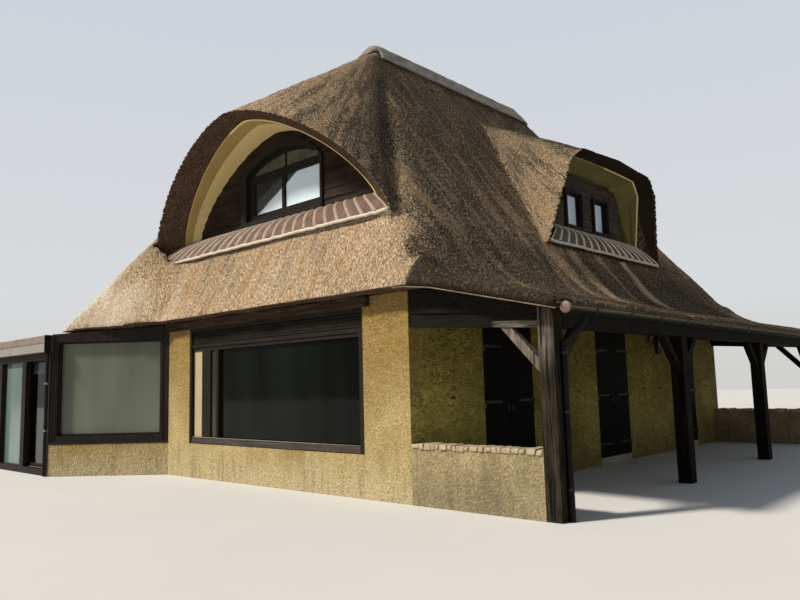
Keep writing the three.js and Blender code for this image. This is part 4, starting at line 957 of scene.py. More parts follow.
def age_and_shade_of(points, normals, index):
    """From -0.5 for the palest straw, through 0 for golden reed, to 2 for the darkest grey; facing and height
    paint light and shade into it.
    """
    x, y, z = points.T
    facing_x, facing_y, _ = np.clip(normals, -1, 1).T
    # A slope turned towards the sun is painted golden and one turned away grey: painted light and shade on
    # top of the reed's age.
    age = 0.5 + 0.6 * np.maximum(facing_x, 0) + 0.1 * np.maximum(-facing_x, 0)
    age = age - 0.42 * soft_step(-facing_y, 0.2, 0.75) + 0.15 * np.maximum(facing_y, 0)
    # Higher up the reed is painted greyer, as shade.
    age += 0.22 * soft_step(z, 5.0, 8.5)
    if index in (FRONT, RIGHT, GALLERY):
        # Past the corner, where the reed turns from the sun, it is painted grey as shade, and the verge that
        # closes it in front is made the darkest.
        round_hip = soft_step(facing_x + 0.6 * facing_y, -0.35, 0.2)
        age = np.maximum(age, 1.25 * soft_step(x, -0.5, 0.05) * round_hip)
        age += 1.6 * soft_step(-facing_y, 0.15, 0.5) * soft_step(x, 0.12, 0.4)
        if index == GALLERY:
            age = np.maximum(age, 2.1 * soft_step(-y, -0.5, 0.0))
        wander = noise_at(points, 1.1, 7, 2) * 0.14
        below = soft_step(z, 2.85, 3.2) * soft_step(-z, -4.35, -4.1) * (x > -0.5)
        for middle, half, share in PALE_STREAKS:
            age -= share * below * soft_step(-np.abs(y + wander - middle), -2.2 * half, -0.4 * half)
    if index in (FRONT, LEFT):  # the low apron on the left turns to the sun and is painted lighter
        age -= 0.5 * soft_step(-x, 4.6, 7.2) * soft_step(-z, -4.9, -3.6) * (y < 3)
    # The front hood's side turned from the sun is painted greyer, as shade. The side dormer is greyer, and
    # its cut faces are painted darker, as the shade they lie in.
    if index == FRONT_HOOD:
        age += 0.75 * np.maximum(facing_x, 0) - 0.4
    if index == SIDE_HOOD:
        age += 0.4 + 0.9 * cut_of(points, normals, index)
    return np.clip(age + 0.3 * noise_at(points, 0.45, 5, 2), -0.5, 2)


print("age and cut ready")

# %% The thatch pieces
def break_edges(obj, width, angle):
    """Round off a mesh's sharp edges a little."""
    edge = obj.modifiers.new("edge", "BEVEL")
    edge.width, edge.segments, edge.limit_method = width, 2, "ANGLE"
    edge.angle_limit = math.radians(angle)


def put_value(mesh, name, values):
    vector = values.ndim == 2
    layer = mesh.attributes.new(name, "FLOAT_VECTOR" if vector else "FLOAT", "POINT")
    layer.data.foreach_set("vector" if vector else "value", np.ascontiguousarray(values, np.float32).ravel())


def piece(name, parts, finish, body="house", bevel=0.0, smooth=False, stands_for=()):
    """Parts in the walls' measures as one finished mesh, riding on a body and standing for nodes."""
    points, faces = stacked(parts)
    mesh = bpy.data.meshes.new(name)
    mesh.from_pydata([tuple(p) for p in points], [], [tuple(int(i) for i in f) for f in faces])
    mesh.materials.append(finish)
    obj = bpy.data.objects.new(name, mesh)
    obj.location = SHIFT
    scene.collection.objects.link(obj)
    if smooth:
        mesh.shade_smooth()
    if bevel:
        break_edges(obj, bevel, 35)
    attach(obj, body)
    if stands_for:
        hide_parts(*stands_for)
    return obj


for index, name in enumerate(THATCH):
    used, renumbered = np.unique(skin_quads[owner == index], return_inverse=True)
    points, normals = skin_points[used], skin_normals[used]
    part = points, renumbered.reshape(-1, 4)
    mesh = piece("reed_" + name, [part], reed_thatch, stands_for=[name]).data
    mesh.shade_smooth()
    mesh.normals_split_custom_set_from_vertices([tuple(n) for n in normals])
    first, second, share = slope_sets(points, normals, index)
    values = {"reed_a": first, "reed_b": second, "reed_mix": share,
              "cut": cut_of(points, normals, index), "age": age_and_shade_of(points, normals, index)}
    for label, value in values.items():
        put_value(mesh, label, value)
    print(mesh.name, len(points), "points")

# %% [markdown]
# ## Finishes for the frame's own nodes
# Walls, floors, posts, panes and most frames already have the right shape, so they keep it and only
# change their finish. A small Bevel modifier breaks the edges that show, because no plastered or planed
# edge on a real house is knife-sharp.

# %% Dress the nodes
DRESSED = [  # finish, width of the broken edges, nodes
    (sunny_roughcast, 0.012, ["front_wall", "cant_wall", "left_wall", "rear_wall"]),
    (sunny_roughcast, 0.01, ["annex_wall"]),
    (parapet_roughcast, 0.015, ["front_parapet", "rear_parapet"]),
    (shaded_gallery_roughcast, 0.01, [f"right_wall_{i}" for i in range(1, 5)]),
    (shaded_gallery_roughcast, 0, ["right_wall_head"]),
    (post_oak, 0.012, ["post_1"]),
    (shaded_oak, 0.012, ["post_2", "post_3", "post_4"]),
    (beam_oak, 0.012, ["gallery_beam"]),
    (end_oak, 0.01, ["front_end_beam", "rear_end_beam"]),
    (frame_paint, 0.006, ["front_window_frame", "rear_window_frame", "annex_frame"]),
    (frame_paint, 0.008, ["cant_window_frame"]),
    (dark_glass, 0, ["front_window_glass", "rear_window_glass"]),
    (net_glass, 0, ["cant_window_glass"]),
    (annex_pane, 0, ["annex_glass"]),
    (clear_pane, 0, ["annex_sliding_panel"]),
    (floor_screed, 0, ["ground_floor", "attic_floor", "annex_floor"]),
    (zinc, 0, ["gutter"]),
    (dark_pipe, 0, ["downpipe"]),
    (grey_fascia, 0.008, ["annex_roof"])]
for finish, width, names in DRESSED:
    for name in names:
        for material_slot in nodes[name].material_slots:
            material_slot.material = finish
        if width:
            break_edges(nodes[name], width, 40)
print("dressed", sum(len(names) for finish, width, names in DRESSED), "nodes")

# %% [markdown]
# ## Loose reed ends
# Up close thatch bristles: single ends stand a little proud of the coat and catch the light. Thin
# tapered blades are built straight into a mesh, so that they are the same on every run. Each lies along
# the fall of the slope, a little askew, and carries a tone of its own.

# %% Finish of the loose reeds
GOLD_BLADE = (0.0, (0.11, 0.068, 0.033)), (0.5, (0.45, 0.32, 0.18)), (1.0, (0.85, 0.68, 0.46))
GREY_BLADE = (0.0, (0.016, 0.012, 0.007)), (0.5, (0.1, 0.077, 0.053)), (1.0, (0.4, 0.33, 0.245))


def make_blade_finish():
    g = Finish("loose_reed")
    tone = g.mesh_value("tone")
    wear = g.weather(30.0, 120.0)
    mixed = g.blend(g.mesh_value("age"), g.ramp(tone, *GOLD_BLADE), g.ramp(tone, *GREY_BLADE))
    mixed = g.blend(g.times(wear["Blotch"], 0.4), mixed, (0.07, 0.045, 0.03))
    return g.done(mixed, g.rough(wear["Blotch"], 0.75, 0.95), wear["Tooth"], 0.2, 0.002,
                  Specular_IOR_Level=0.12)


loose_reed = make_blade_finish()
print("finish:", loose_reed.name)

# %% Lay the blades
BLADES_PER_SQUARE_METRE = 340
STEEPEST = {GALLERY: 0.6, FRONT_HOOD: 0.12, SIDE_HOOD: 0.12}  # least upward normal that carries blades
LENGTH, HALF_WIDTH, LIFT = (0.03, 0.085), (0.0024, 0.005), (0.003, 0.014)
STRAY = 0.22


def blades_on(index):
    """Lay blades on one slope, away from trimmed faces; four points make each blade."""
    quads = skin_quads[owner == index]
    corner = skin_points[quads]
    size = 0.5 * np.linalg.norm(np.cross(corner[:, 2] - corner[:, 0], corner[:, 3] - corner[:, 1]), axis=1)
    normal = skin_normals[quads].mean(axis=1)
    normal /= np.linalg.norm(normal, axis=1, keepdims=True)
    middle = corner.mean(axis=1)
    trimmed = nearest_on_lines(middle, mouth_lines)[0] < 0.09
    if index == GALLERY:
        trimmed |= middle[:, 1] < 0.35
    gentle = normal[:, 2] > STEEPEST.get(index, 0.42)
    weight = size * (cut_of(middle, normal, index) < 0.2) * gentle * ~trimmed
    count = int(weight.sum() * BLADES_PER_SQUARE_METRE)
    chosen = rng.choice(len(quads), count, p=weight / weight.sum())
    u, v = rng.random((2, count, 1))
    c, n = corner[chosen], normal[chosen]
    base = (c[:, 0] * (1 - u) + c[:, 1] * u) * (1 - v) + (c[:, 3] * (1 - u) + c[:, 2] * u) * v
    fall = n * n[:, 2:3] - np.array([0, 0, 1.0])
    fall /= np.maximum(np.linalg.norm(fall, axis=1, keepdims=True), 1e-6)
    across = np.cross(n, fall)
    fall = fall + across * rng.normal(0, STRAY, (count, 1))
    length, width, lift = (rng.uniform(*limits, (count, 1)) for limits in (LENGTH, HALF_WIDTH, LIFT))
    base = base + n * 0.001
    tip = base + fall * length + n * lift
    points = np.stack([base - across * width, base + across * width,
                       tip + across * width * 0.5, tip - across * width * 0.5], axis=1).reshape(-1, 3)
    part = points, np.arange(len(points)).reshape(-1, 4)
    mesh = piece("loose_" + THATCH[index], [part], loose_reed).data
    put_value(mesh, "tone", np.repeat(rng.beta(2, 2, count), 4))
    put_value(mesh, "age", np.repeat(age_and_shade_of(base, n, index), 4))
    return count


print("blades:", {name: blades_on(index) for index, name in enumerate(THATCH)})

# %% [markdown]
# ## Shapes that are swept, lofted or stacked
# Most joinery is one outline pushed along a line, while plaster, boards and tiles are one curve joined
# to the next. A few small helpers cover both, and one more bends a bar along a route. Every shape is its
# points and faces, so that several can be stacked into one mesh when they become a piece.

# %% Shape helpers
PLACES = {"x": lambda a, b, t: (t, a, b), "y": lambda a, b, t: (a, t, b), "z": lambda a, b, t: (a, b, t)}


def loft(rows, closed=False):
    """A skin over rows of points; closed joins the last row to the first."""
    wide = len(rows[0])
    faces = []
    for j in range(len(rows) if closed else len(rows) - 1):
        k = (j + 1) % len(rows)
        faces += [(j * wide + i, j * wide + i + 1, k * wide + i + 1, k * wide + i) for i in range(wide - 1)]
    return [p for row in rows for p in row], faces


def swept(outline, low, high, axis):
    """An outline pushed along an axis: (y, z) along x, (x, z) along y, (x, y) along z."""
    n = len(outline)
    points = [PLACES[axis](a, b, t) for t in (low, high) for a, b in outline]
    area = sum(a0 * b1 - a1 * b0 for (a0, b0), (a1, b1) in zip(outline, outline[1:] + outline[:1]))
    turned = (area > 0) == (axis != "y")
    first, last = tuple(range(n)), tuple(range(n, 2 * n))
    sides = [(i, (i + 1) % n, n + (i + 1) % n, n + i) for i in range(n)]
    if not turned:
        sides, first, last = [s[::-1] for s in sides], first[::-1], last[::-1]
    return points, [first[::-1], last, *sides]


def outline_of(a0, a1, b0, b1):
    return [(a0, b0), (a1, b0), (a1, b1), (a0, b1)]


def slab(x, y, z):
    return swept(outline_of(*x, *y), *z, "z")


def slabs(*boxes):
    return [slab(*box) for box in boxes]


def bar(route, radius, sides=8):
    """A round bar along a route of points, closed at both ends."""
    route = [Vector(p) for p in route]
    points, faces = [], []
    for i, here in enumerate(route):
        way = (route[min(i + 1, len(route) - 1)] - route[max(i - 1, 0)]).normalized()
        guide = Vector((0, 0, 1)) if abs(way.z) < 0.9 else Vector((1, 0, 0))
        right = way.cross(guide).normalized()
        top = right.cross(way)
        for k in range(sides):
            turn = 2 * math.pi * k / sides
            points.append(here + right * radius * math.cos(turn) + top * radius * math.sin(turn))
    for i in range(len(route) - 1):
        for k in range(sides):
            a, b = i * sides + k, i * sides + (k + 1) % sides
            faces.append((a, b, b + sides, a + sides))
    faces += [tuple(range(sides))[::-1], tuple(range(len(points) - sides, len(points)))]
    return points, faces


def frame_of(outer, inner, low, high, axis):
    """A picture frame: two outlines with as many corners, joined front, back, inside and outside."""
    n = len(outer)
    rings = (low, outer), (low, inner), (high, inner), (high, outer)
    points = [PLACES[axis](a, b, t) for t, line in rings for a, b in line]
    faces = [(j * n + i, j * n + (i + 1) % n, (j + 1) % 4 * n + (i + 1) % n, (j + 1) % 4 * n + i)
             for j in range(4) for i in range(n)]
    return points, faces


print("shape helpers ready")

# %% [markdown]
# ## The plastered linings
# Behind the cut reed each dormer is lined with smooth plaster in two bands that meet in a soft crease. On the
# front dormer the outer band is painted darker, as the shade it lies in, and the inner one bright, as lit.
# They are lofted between the same edge curves that cut the thatch, and a thin rounded lip runs along the
# front edge.

# %% Line both dormers
CREASE = 0.018


def lining_rows(dormer):
    """The rows of the lip, of the outer band and of the inner band."""
    inner, board = dormer.line("inner"), dormer.line("board")
    out = inner - board.mean(axis=0)
    out[:, dormer.deep] = 0
    out /= np.linalg.norm(out, axis=1, keepdims=True)
    middle = inner + (board - inner) * 0.42 + out * CREASE
    ahead = inner + (inner - board) * 0.03
    lip = [ahead + out * 0.022, ahead + out * 0.002, ahead - out * 0.004, inner + (board - inner) * 0.03]
    return lip, [lip[-1], middle], [middle, board + (board - inner) * 0.08]


for word, dormer, outer_coat, inner_coat in (("front", front_dormer, shaded_tan_plaster, cream_plaster),
                                             ("side", side_dormer, olive_plaster, olive_plaster)):
    lip, outer_band, inner_band = lining_rows(dormer)
    # On the front dormer the part of the lip turned from the sun takes the darker outer coat, as painted
    # shade, and the rest takes the bright coat, as lit.
    share = len(lip[0]) * 6 // 10
    near, far = [row[:share] for row in lip], [row[share - 1:] for row in lip]
    piece(f"{word}_lining_lip", [loft(near)], cream_plaster, smooth=True)
    piece(f"{word}_lining_edge", [loft(far)], outer_coat, smooth=True)
    piece(f"{word}_lining_outer", [loft(outer_band)], outer_coat)
    piece(f"{word}_lining_inner", [loft(inner_band)], inner_coat,
          stands_for=[f"{word}_dormer_plaster"])
    print("lined the", word, "dormer; its lip has", len(lip[0]), "points along")

# %% [markdown]
# ## Weatherboards
# The dormer walls are lapped boards: each leans out at its foot over the one below, and age has made
# their edges wander. Every row is cut to the arch and round the windows, then divided along its length so
# that it can wave.

# %% Board up the dormers
BOARD_ROW, LAP = 0.165, 0.012
FOOT_OUT, HEAD_OUT, BACK = 0.022, 0.003, 0.03  # how far a board stands out, and how far back it goes
ARCH_SPRING, ARCH_CROWN = 0.98, 1.56  # heights of the window's head above the boards' foot


def half_width(curve, height):
    right = [(u, a) for a, d, u in curve if a >= 0]
    return float(np.interp(height, *zip(*right)))


def waved_board(dormer, depth, foot, head, low, high):
    """One board between two ends at its foot and two at its head."""
    steps = max(2, int((foot[1] - foot[0]) / 0.22))
    rows = [[], [], [], []]
    for i in range(steps + 1):
        wave = rng.normal(0, 0.003, 2)
        below, above = (ends[0] + (ends[1] - ends[0]) * (i / steps) for ends in (foot, head))
        spots = ((below, depth - FOOT_OUT + wave[0], low + wave[1]), (above, depth - HEAD_OUT, high + LAP),
                 (above, depth + BACK, high + LAP), (below, depth + BACK, low + wave[1]))
        for row, spot in zip(rows, spots):
            row.append(dormer.at(*spot))
    return loft(rows, closed=True)


def boarding(dormer, gaps):
    """Rows of lapped boards under the dormer's arch, with gaps(height) giving the openings to leave."""
    curve = dormer.edges["board"]
    depth, base, crown = curve[0][1], min(u for a, d, u in curve), max(u for a, d, u in curve)
    parts, low = [], base - 0.02
    while low < crown - 0.02:
        high = min(low + BOARD_ROW, crown)
        reach = [half_width(curve, low) + 0.02, half_width(curve, high) + 0.02]
        ends = [-1, *[edge for pair in gaps(high - 0.02) for edge in pair], 1]
        for left, right in zip(ends[::2], ends[1::2]):
            foot, head = ([-r if left == -1 else left, r if right == 1 else right] for r in reach)
            if foot[1] - foot[0] < 0.04:
                continue
            head[1] = max(head[1], head[0] + 0.02)
            parts.append(waved_board(dormer, depth, foot, head, low, high))
        low = high
    return parts


def front_gaps(height):
    """The arched window's opening."""
    h = height - 0.522
    if h > ARCH_CROWN:
        return []
    share = 1.0
    if h > ARCH_SPRING:
        shares = np.linspace(1, 0, 60)
        heads = ARCH_SPRING + 0.58 * np.sqrt(1 - 0.8 * shares ** 2) - 0.58 * 0.45 * shares ** 2
        share = float(np.interp(h, heads, shares))
    middle, half = -3.89 + 4.0, 1.23 * share - 0.01
    return [(middle - half, middle + half)]


def side_gaps(height):
    """The openings of the two side windows."""
    return [(5.61 - 6.55, 6.31 - 6.55), (6.79 - 6.55, 7.49 - 6.55)] if height - 0.54 < 0.86 else []


for word, dormer, gaps, finish in (("front", front_dormer, front_gaps, board_front),
                                   ("side", side_dormer, side_gaps, board_side)):
    piece(f"{word}_weatherboards", boarding(dormer, gaps), finish, bevel=0.003,
          stands_for=[f"{word}_dormer_boards"])
print("boarded both dormers")

# %% [markdown]
# ## Ridge tiles under the windows
# A row of half-round tiles runs from the boards down to the edge of the thatch, bedded in pale mortar
# that also covers every joint as a raised rib. Tiles, ribs and the bead along the foot all follow one
# crowned surface.

# %% Lay the tiles
CROWNING = 0.095
TILE_RISE, RIB_RISE, RIB_WIDTH = 0.016, 0.03, 0.19


def half_round(q):
    return math.sqrt(max(0.0, 1 - q * q))


def tile_row(word, dormer, count, coat, joint):
    outer, inner, board = (dormer.edges[name] for name in ("outer", "inner", "board"))
    shares = [0.0, inner[0][1] / board[0][1], 1.0]
    halves = [outer[0][0] - 0.02, inner[0][0] - 0.01, board[0][0] - 0.005]
    depth, base = board[0][1], board[0][2]
    slope = math.atan2(base, depth)

    def surface(s, t, lift=0.0):
        """A point of the crowned surface: s runs from side to side, from -1 to 1, and t down, from 0 to 1."""
        share = 1 - 0.97 * t
        bulge = CROWNING * 4 * share * (1 - share) + lift
        along = s * float(np.interp(share, shares, halves))
        inwards, up = depth * share - bulge * math.sin(slope), base * share + bulge * math.cos(slope)
        return dormer.at(along, inwards, up)

    steps = np.linspace(0, 1, 11)
    joints = np.linspace(-1, 1, count + 1)
    tiles, ribs = [], []
    for a, b in zip(joints[:-1], joints[1:]):
        sunk = rng.normal(0, 0.003)
        shape = [(a + (b - a) * (0.5 + 0.5 * q), 0.004 + sunk + TILE_RISE * half_round(q))
                 for q in np.linspace(-1, 1, 7)]
        tiles.append(loft([[surface(s, t, lift) for s, lift in shape] for t in steps]))
    for s in joints:
        shape = [(max(-1.0, min(1.0, s + 2 / count * q * RIB_WIDTH)), RIB_RISE * half_round(q) + 0.002)
                 for q in np.linspace(-1, 1, 5)]
        wander = rng.normal(0, 0.0015, len(steps))
        ribs.append(loft([[surface(p, t, lift + w) for p, lift in shape] for t, w in zip(steps, wander)]))
    bead = [surface(s, 1.0, 0.004) + dormer.turn(0, -0.004, -0.012) + rng.normal(0, 0.004, 3)
            for s in np.linspace(-1, 1, count * 3 + 1)]
    piece(f"{word}_tiles", tiles, coat, smooth=True, stands_for=[f"{word}_tiles"])
    piece(f"{word}_tile_ribs", ribs, joint, smooth=True)
    piece(f"{word}_tile_bead", [bar(bead, 0.03)], bead_mortar, smooth=True)
    print(word, "dormer:", count, "tiles")


tile_row("front_dormer", front_dormer, 24, red_tile, pale_mortar)
tile_row("side_dormer", side_dormer, 15, buff_tile, bead_mortar)

# %% [markdown]
# ## The arched window
# The window sits deep behind a heavy frame, so its left jamb shows a dark reveal and its glass begins
# well inside. Two sashes stand under a transom, and a low arched light with a slender bar fills the head.

# %% Build the arched window
BASE = 4.788  # height of the boards' foot
SASH = BASE + 0.24, BASE + 0.87
TRANSOM = BASE + 1.0
SIDES = -4.94, -2.72


def window_outline(left, right, foot, spring, crown):
    """An outline with a low arched head, from its left foot."""
    middle, half, rise = (left + right) / 2, (right - left) / 2, crown - spring
    arch = [(middle + half * q, spring + rise * math.sqrt(1 - 0.78 * q * q) - rise * 0.47 * q * q)
            for q in np.linspace(1, -1, 16)]
    return [(left, foot), (right, foot), *arch]


outer = window_outline(-5.12, -2.66, BASE + 0.02, BASE + 0.98, BASE + 1.56)
inner = window_outline(*SIDES, BASE + 0.1, BASE + 1.02, BASE + 1.36)
piece("arch_frame", [frame_of(outer, inner, 0.765, 0.9, "y")], frame_paint, bevel=0.006,
      stands_for=["front_dormer_window_frame"])
sill = [(0.745, BASE + 0.005), (0.745, BASE + 0.045), (0.8, BASE + 0.1), (0.9, BASE + 0.1),
        (0.9, BASE + 0.005)]
bars = slabs((SIDES, (0.84, 0.9), (BASE + 0.1, BASE + 0.17)), (SIDES, (0.865, 0.91), (BASE + 0.17, SASH[0])),
             (SIDES, (0.85, 0.91), (SASH[1], TRANSOM)),
             (SIDES, (0.835, 0.87), (SASH[1] + 0.05, TRANSOM - 0.03)),
             ((-4.94, -4.77), (0.865, 0.91), SASH), ((-3.92, -3.82), (0.862, 0.91), SASH),
             ((-2.78, -2.72), (0.865, 0.91), SASH))
piece("arch_sashes", [swept(sill, -5.1, -2.68, "x"), *bars], frame_paint, bevel=0.005)
outer = window_outline(*SIDES, TRANSOM - 0.01, TRANSOM + 0.02, BASE + 1.36)
inner = window_outline(-4.82, -2.78, TRANSOM + 0.03, TRANSOM + 0.06, BASE + 1.3)
bead = [frame_of(outer, inner, 0.87, 0.91, "y"), slab((-3.84, -3.8), (0.875, 0.91), (TRANSOM, BASE + 1.31))]
piece("arch_head_bead", bead, frame_paint, bevel=0.004)
piece("arch_head_pane", [swept(inner, 0.896, 0.902, "y")], khaki_pane)
panes = [slab(x, (0.894, 0.9), (SASH[0] - 0.02, SASH[1] + 0.02)) for x in ((-4.79, -3.9), (-3.84, -2.76))]
piece("arch_sash_panes", panes, arch_sky_reflection_pane, stands_for=["front_dormer_window_glass"])
print("arched window built")

# %% [markdown]
# ## The side dormer's windows
# Two narrow lights share a sill. Their frames stand proud of the boards like boxes, so from the front
# each shows a dark side and only a slip of pale glass.

# %% Build the side windows
FOOT, HEAD = 4.79, 5.63
boxes, beads, panes = [], [], []
for low, high in ((5.6, 6.32), (6.78, 7.5)):
    outer, middle, inner = (outline_of(low + a, high - a, FOOT + b, HEAD - a)
                            for a, b in ((0, 0), (0.06, 0.07), (0.1, 0.12)))
    boxes.append(frame_of(outer, middle, -0.68, -0.545, "x"))
    beads.append(frame_of(middle, inner, -0.69, -0.655, "x"))
    panes.append(slab((-0.69, -0.684), (low + 0.05, high - 0.05), (FOOT + 0.06, HEAD - 0.05)))
sill = swept([(-0.69, 4.775), (-0.5, 4.765), (-0.5, 4.79), (-0.69, 4.815)], 5.56, 7.54, "y")
piece("side_window_boxes", [*boxes, sill], frame_paint, bevel=0.005,
      stands_for=["side_dormer_window_frames"])
piece("side_window_beads", beads, frame_paint, bevel=0.004)
piece("side_window_panes", panes, sky_reflection_pane, stands_for=["side_dormer_window_glass"])
print("side windows built")

# %% [markdown]
# ## The mortared ridge
# The ridge is capped with a thick roll of grey mortar, spread by hand and a little lumpy. The frame's cap
# is remade as a fine skin, rounded and roughened in the same way as the thatch.

# %% Round the ridge
points, quads, edges = voxel_skin(*node_arrays("ridge_cap"), 0.03)
points = relax(points, edges, np.full(len(points), 0.5), 8)
lumps = noise_at(points, 5.0, 3) * 0.012 + noise_at(points, 1.6, 4) * 0.015
points = points + normals_of(points, quads) * lumps[:, None]
piece("ridge_roll", [(points, quads)], ridge_mortar, smooth=True, stands_for=["ridge_cap"])
print("ridge:", len(points), "points")

# %% [markdown]
# ## The roller shutter and the front window's trim
# Over the wide window hangs a shutter in its box: a dark fascia, a few curved slats and a bottom bar. Below
# it the frame holds a beige panel, a slip of greenish glass and the wide pane, all on a worn, sloping sill
# rail, along whose front edge a thin pale bar paints a highlight.

# %% Shutter, sill and panels
START, END = -5.7, -0.92  # the shutter's box, from left to right
BOX_FOOT, BOX_HEAD = 2.432, 2.735
SLAT_PITCH, SLAT_HEIGHT = 0.0475, 0.0455
slats = []
for i in range(5):
    z = 2.497 + i * SLAT_PITCH
    curve = [(0.047 + 0.009 * (2 * k / 6 - 1) ** 2, z + SLAT_HEIGHT * k / 6) for k in range(7)]
    slats.append(swept(curve + [(0.075, z + SLAT_HEIGHT), (0.075, z)], START + 0.05, END - 0.05, "x"))
piece("shutter_slats", slats, slat_paint)
case = slabs(((START, END), (0.012, 0.23), (BOX_HEAD, 2.81)),
             ((START, END), (0.08, 0.23), (BOX_FOOT, BOX_HEAD)),
             ((START, START + 0.05), (0.02, 0.08), (BOX_FOOT, BOX_HEAD)),
             ((END - 0.05, END), (0.02, 0.08), (BOX_FOOT, BOX_HEAD)),
             ((START + 0.05, END - 0.05), (0.03, 0.08), (BOX_FOOT, 2.496)))
piece("shutter_case", case, frame_paint, bevel=0.004, stands_for=["shutter_box"])
board = slabs(((-6.44, -0.76), (-0.09, -0.0003), (2.80, 2.9497)),
              ((-6.42, -0.78), (-0.1, -0.088), (2.815, 2.835)),
              ((START, END), (-0.02, 0.03), (2.788, 2.80)))
piece("head_board", board, head_oak, bevel=0.004)
rail = [(0.012, 0.64), (0.012, 0.66), (0.028, 0.73), (0.03, 0.752), (0.06, 0.758), (0.06, 0.634),
        (0.03, 0.632)]
piece("sill_rail", [swept(rail, START + 0.01, END - 0.06, "x")], rail_paint, bevel=0.003)
# A thin pale bar along the rail's front edge paints its highlight.
edge = [(x, 0.0305, 0.752) for x in (START + 0.02, END - 0.07)]
piece("sill_edge_highlight", [bar(edge, 0.0035, 6)], highlight_lip, smooth=True)
stops = [slab(x, (0.01, 0.07), (0.635, 2.43)) for x in ((END - 0.1, END), (START, START + 0.06))]
piece("sill_stop", stops, frame_paint, bevel=0.004)
panel = slab((-5.645, -5.335), (0.07, 0.09), (0.735, 2.375))
piece("beige_strip", [panel], beige_panel, bevel=0.003)
slip = slab((-5.065, -4.875), (0.082, 0.09), (0.735, 2.375))
piece("green_strip", [slip], strip_glass, bevel=0.001)
print("front window trimmed")

# %% [markdown]
# ## Door leaves
# Each doorway on the gallery closes with two leaves of upright boards, hung on long strap hinges. The
# boards are one outline with a groove at every joint, and the iron rides on the same body, so that it
# swings with its leaf.

# %% Hang the leaves
DOORWAYS = [(1.74, 3.15), (5.44, 6.77), (9.08, 10.39)]
LEAF_FOOT, LEAF_HEAD = 0.142, 2.588
BOARDS_PER_LEAF, GROOVE = 6, 0.004
HINGES = [0.36, 1.3, 2.18]
# The strap's outline: distance from the jamb and half width.
STRAP = [(0.0, 0.024), (0.3, 0.02), (0.4, 0.013), (0.43, 0.022), (0.46, 0.018), (0.478, 0.0)]
NAILS = [0.08, 0.19, 0.3, 0.44]


def leaf_outline(near, far):
    """The leaf's section in plan, with a groove between boards."""
    width = (far - near) / BOARDS_PER_LEAF
    groove = GROOVE if far > near else -GROOVE
    line = []
    for i in range(BOARDS_PER_LEAF):
        a, b = near + width * i, near + width * (i + 1)
        line += [(-0.005, a), (0.002, a + groove), (0.002, b - groove)]
    return line + [(-0.005, far), (-0.043, far), (-0.043, near)]


def strap(jamb, sign, height):
    """A strap hinge that lies on the leaf from its jamb: plate, pin and nails."""
    z = height + 0.0255
    line = [(jamb + sign * (a + 0.002), z + b) for a, b in STRAP]
    line += [(jamb + sign * (a + 0.002), z - b) for a, b in STRAP[-2::-1]]
    pin = [(0.012, jamb, height + 0.0006), (0.012, jamb, height + 0.05)]
    nails = [bar([(x, jamb + sign * a, z) for x in (0.006, 0.0125)], 0.007, 6) for a in NAILS]
    return [swept(line, 0.0022, 0.008, "x"), bar(pin, 0.011, 10), *nails]


def pull_ring(far, sign):
    """A hanging ring on its plate, near the leaf's free edge."""
    ring = [(0.018 + 0.004 * math.sin(t), far - sign * 0.06 + 0.028 * math.sin(t), 1.2 + 0.028 * math.cos(t))
            for t in np.linspace(0, 2 * math.pi, 13)]
    plate = slab((0.002, 0.009), sorted((far - sign * 0.08, far - sign * 0.04)), (1.18, 1.26))
    return [bar(ring, 0.0035, 6), plate]


for i, (low, high) in enumerate(DOORWAYS, 1):
    middle = (low + high) / 2
    for word, jamb, sign in (("left", low, 1), ("right", high, -1)):
        near, far = jamb + sign * 0.006, middle - sign * 0.005
        body = f"door_{i}_{word}"
        leaf = swept(leaf_outline(near, far), LEAF_FOOT, LEAF_HEAD, "z")
        piece(f"leaf_{i}_{word}", [leaf], door_stain_and_shade, body=body, bevel=0.0015,
              stands_for=[f"{body}_leaf"])
        iron = [part for height in HINGES for part in strap(jamb, sign, height)]
        piece(f"irons_{i}_{word}", iron + pull_ring(far, sign), black_iron, body=body)
print("hung", 2 * len(DOORWAYS), "leaves")

# %% [markdown]
# ## Copings
# The low walls that close the gallery's ends are topped with rough pale stones of uneven width. Each
# starts as a block whose corners are pushed about, and a bevel does the rest.

# %% Lay the coping stones
COPING_START, COPING_END, OVERHANG = 0.012, 2.085, 0.022


def rough_stone(x, y, z):
    """A block whose corners are pushed about."""
    points, faces = slab(x, y, z)
    return np.array(points) + rng.uniform(-0.01, 0.01, (len(points), 3)), faces


def coping(word, front, rear):
    stones, x = [], COPING_START
    while x < COPING_END - 0.025:
        wide = min(rng.uniform(0.06, 0.16), COPING_END - x)
        top = 0.822 + rng.uniform(-0.006, 0.012)
        low = 0.76 + rng.uniform(-0.016, 0.012)
        stones.append(rough_stone((x, x + wide - 0.01), (front - OVERHANG, rear + OVERHANG), (low, top)))
        x += wide
    piece(f"{word}_coping", stones, coping_stone, bevel=0.016)
    print(word, "coping:", len(stones), "stones")


coping("front", 0.0, 0.25)
coping("rear", 11.65, 11.9)

# %% [markdown]
# ## Boards and pegs of the gallery
# A dark fascia board covers the upper half of each end beam, where the thatch meets it, and turned pegs
# pin the braces to their posts. They are small, but they cast the lines of shadow that make the frame
# read as carpentry.

# %% Fascias, pegs and wall irons
def underside(x):
    """Height of the thatch's underside over the gallery."""
    return 2.95 - 0.08 * max(x - 0.25, 0) / 0.45 if x < 0.7 else 2.87 - 0.43 * (x - 0.7) / 1.8


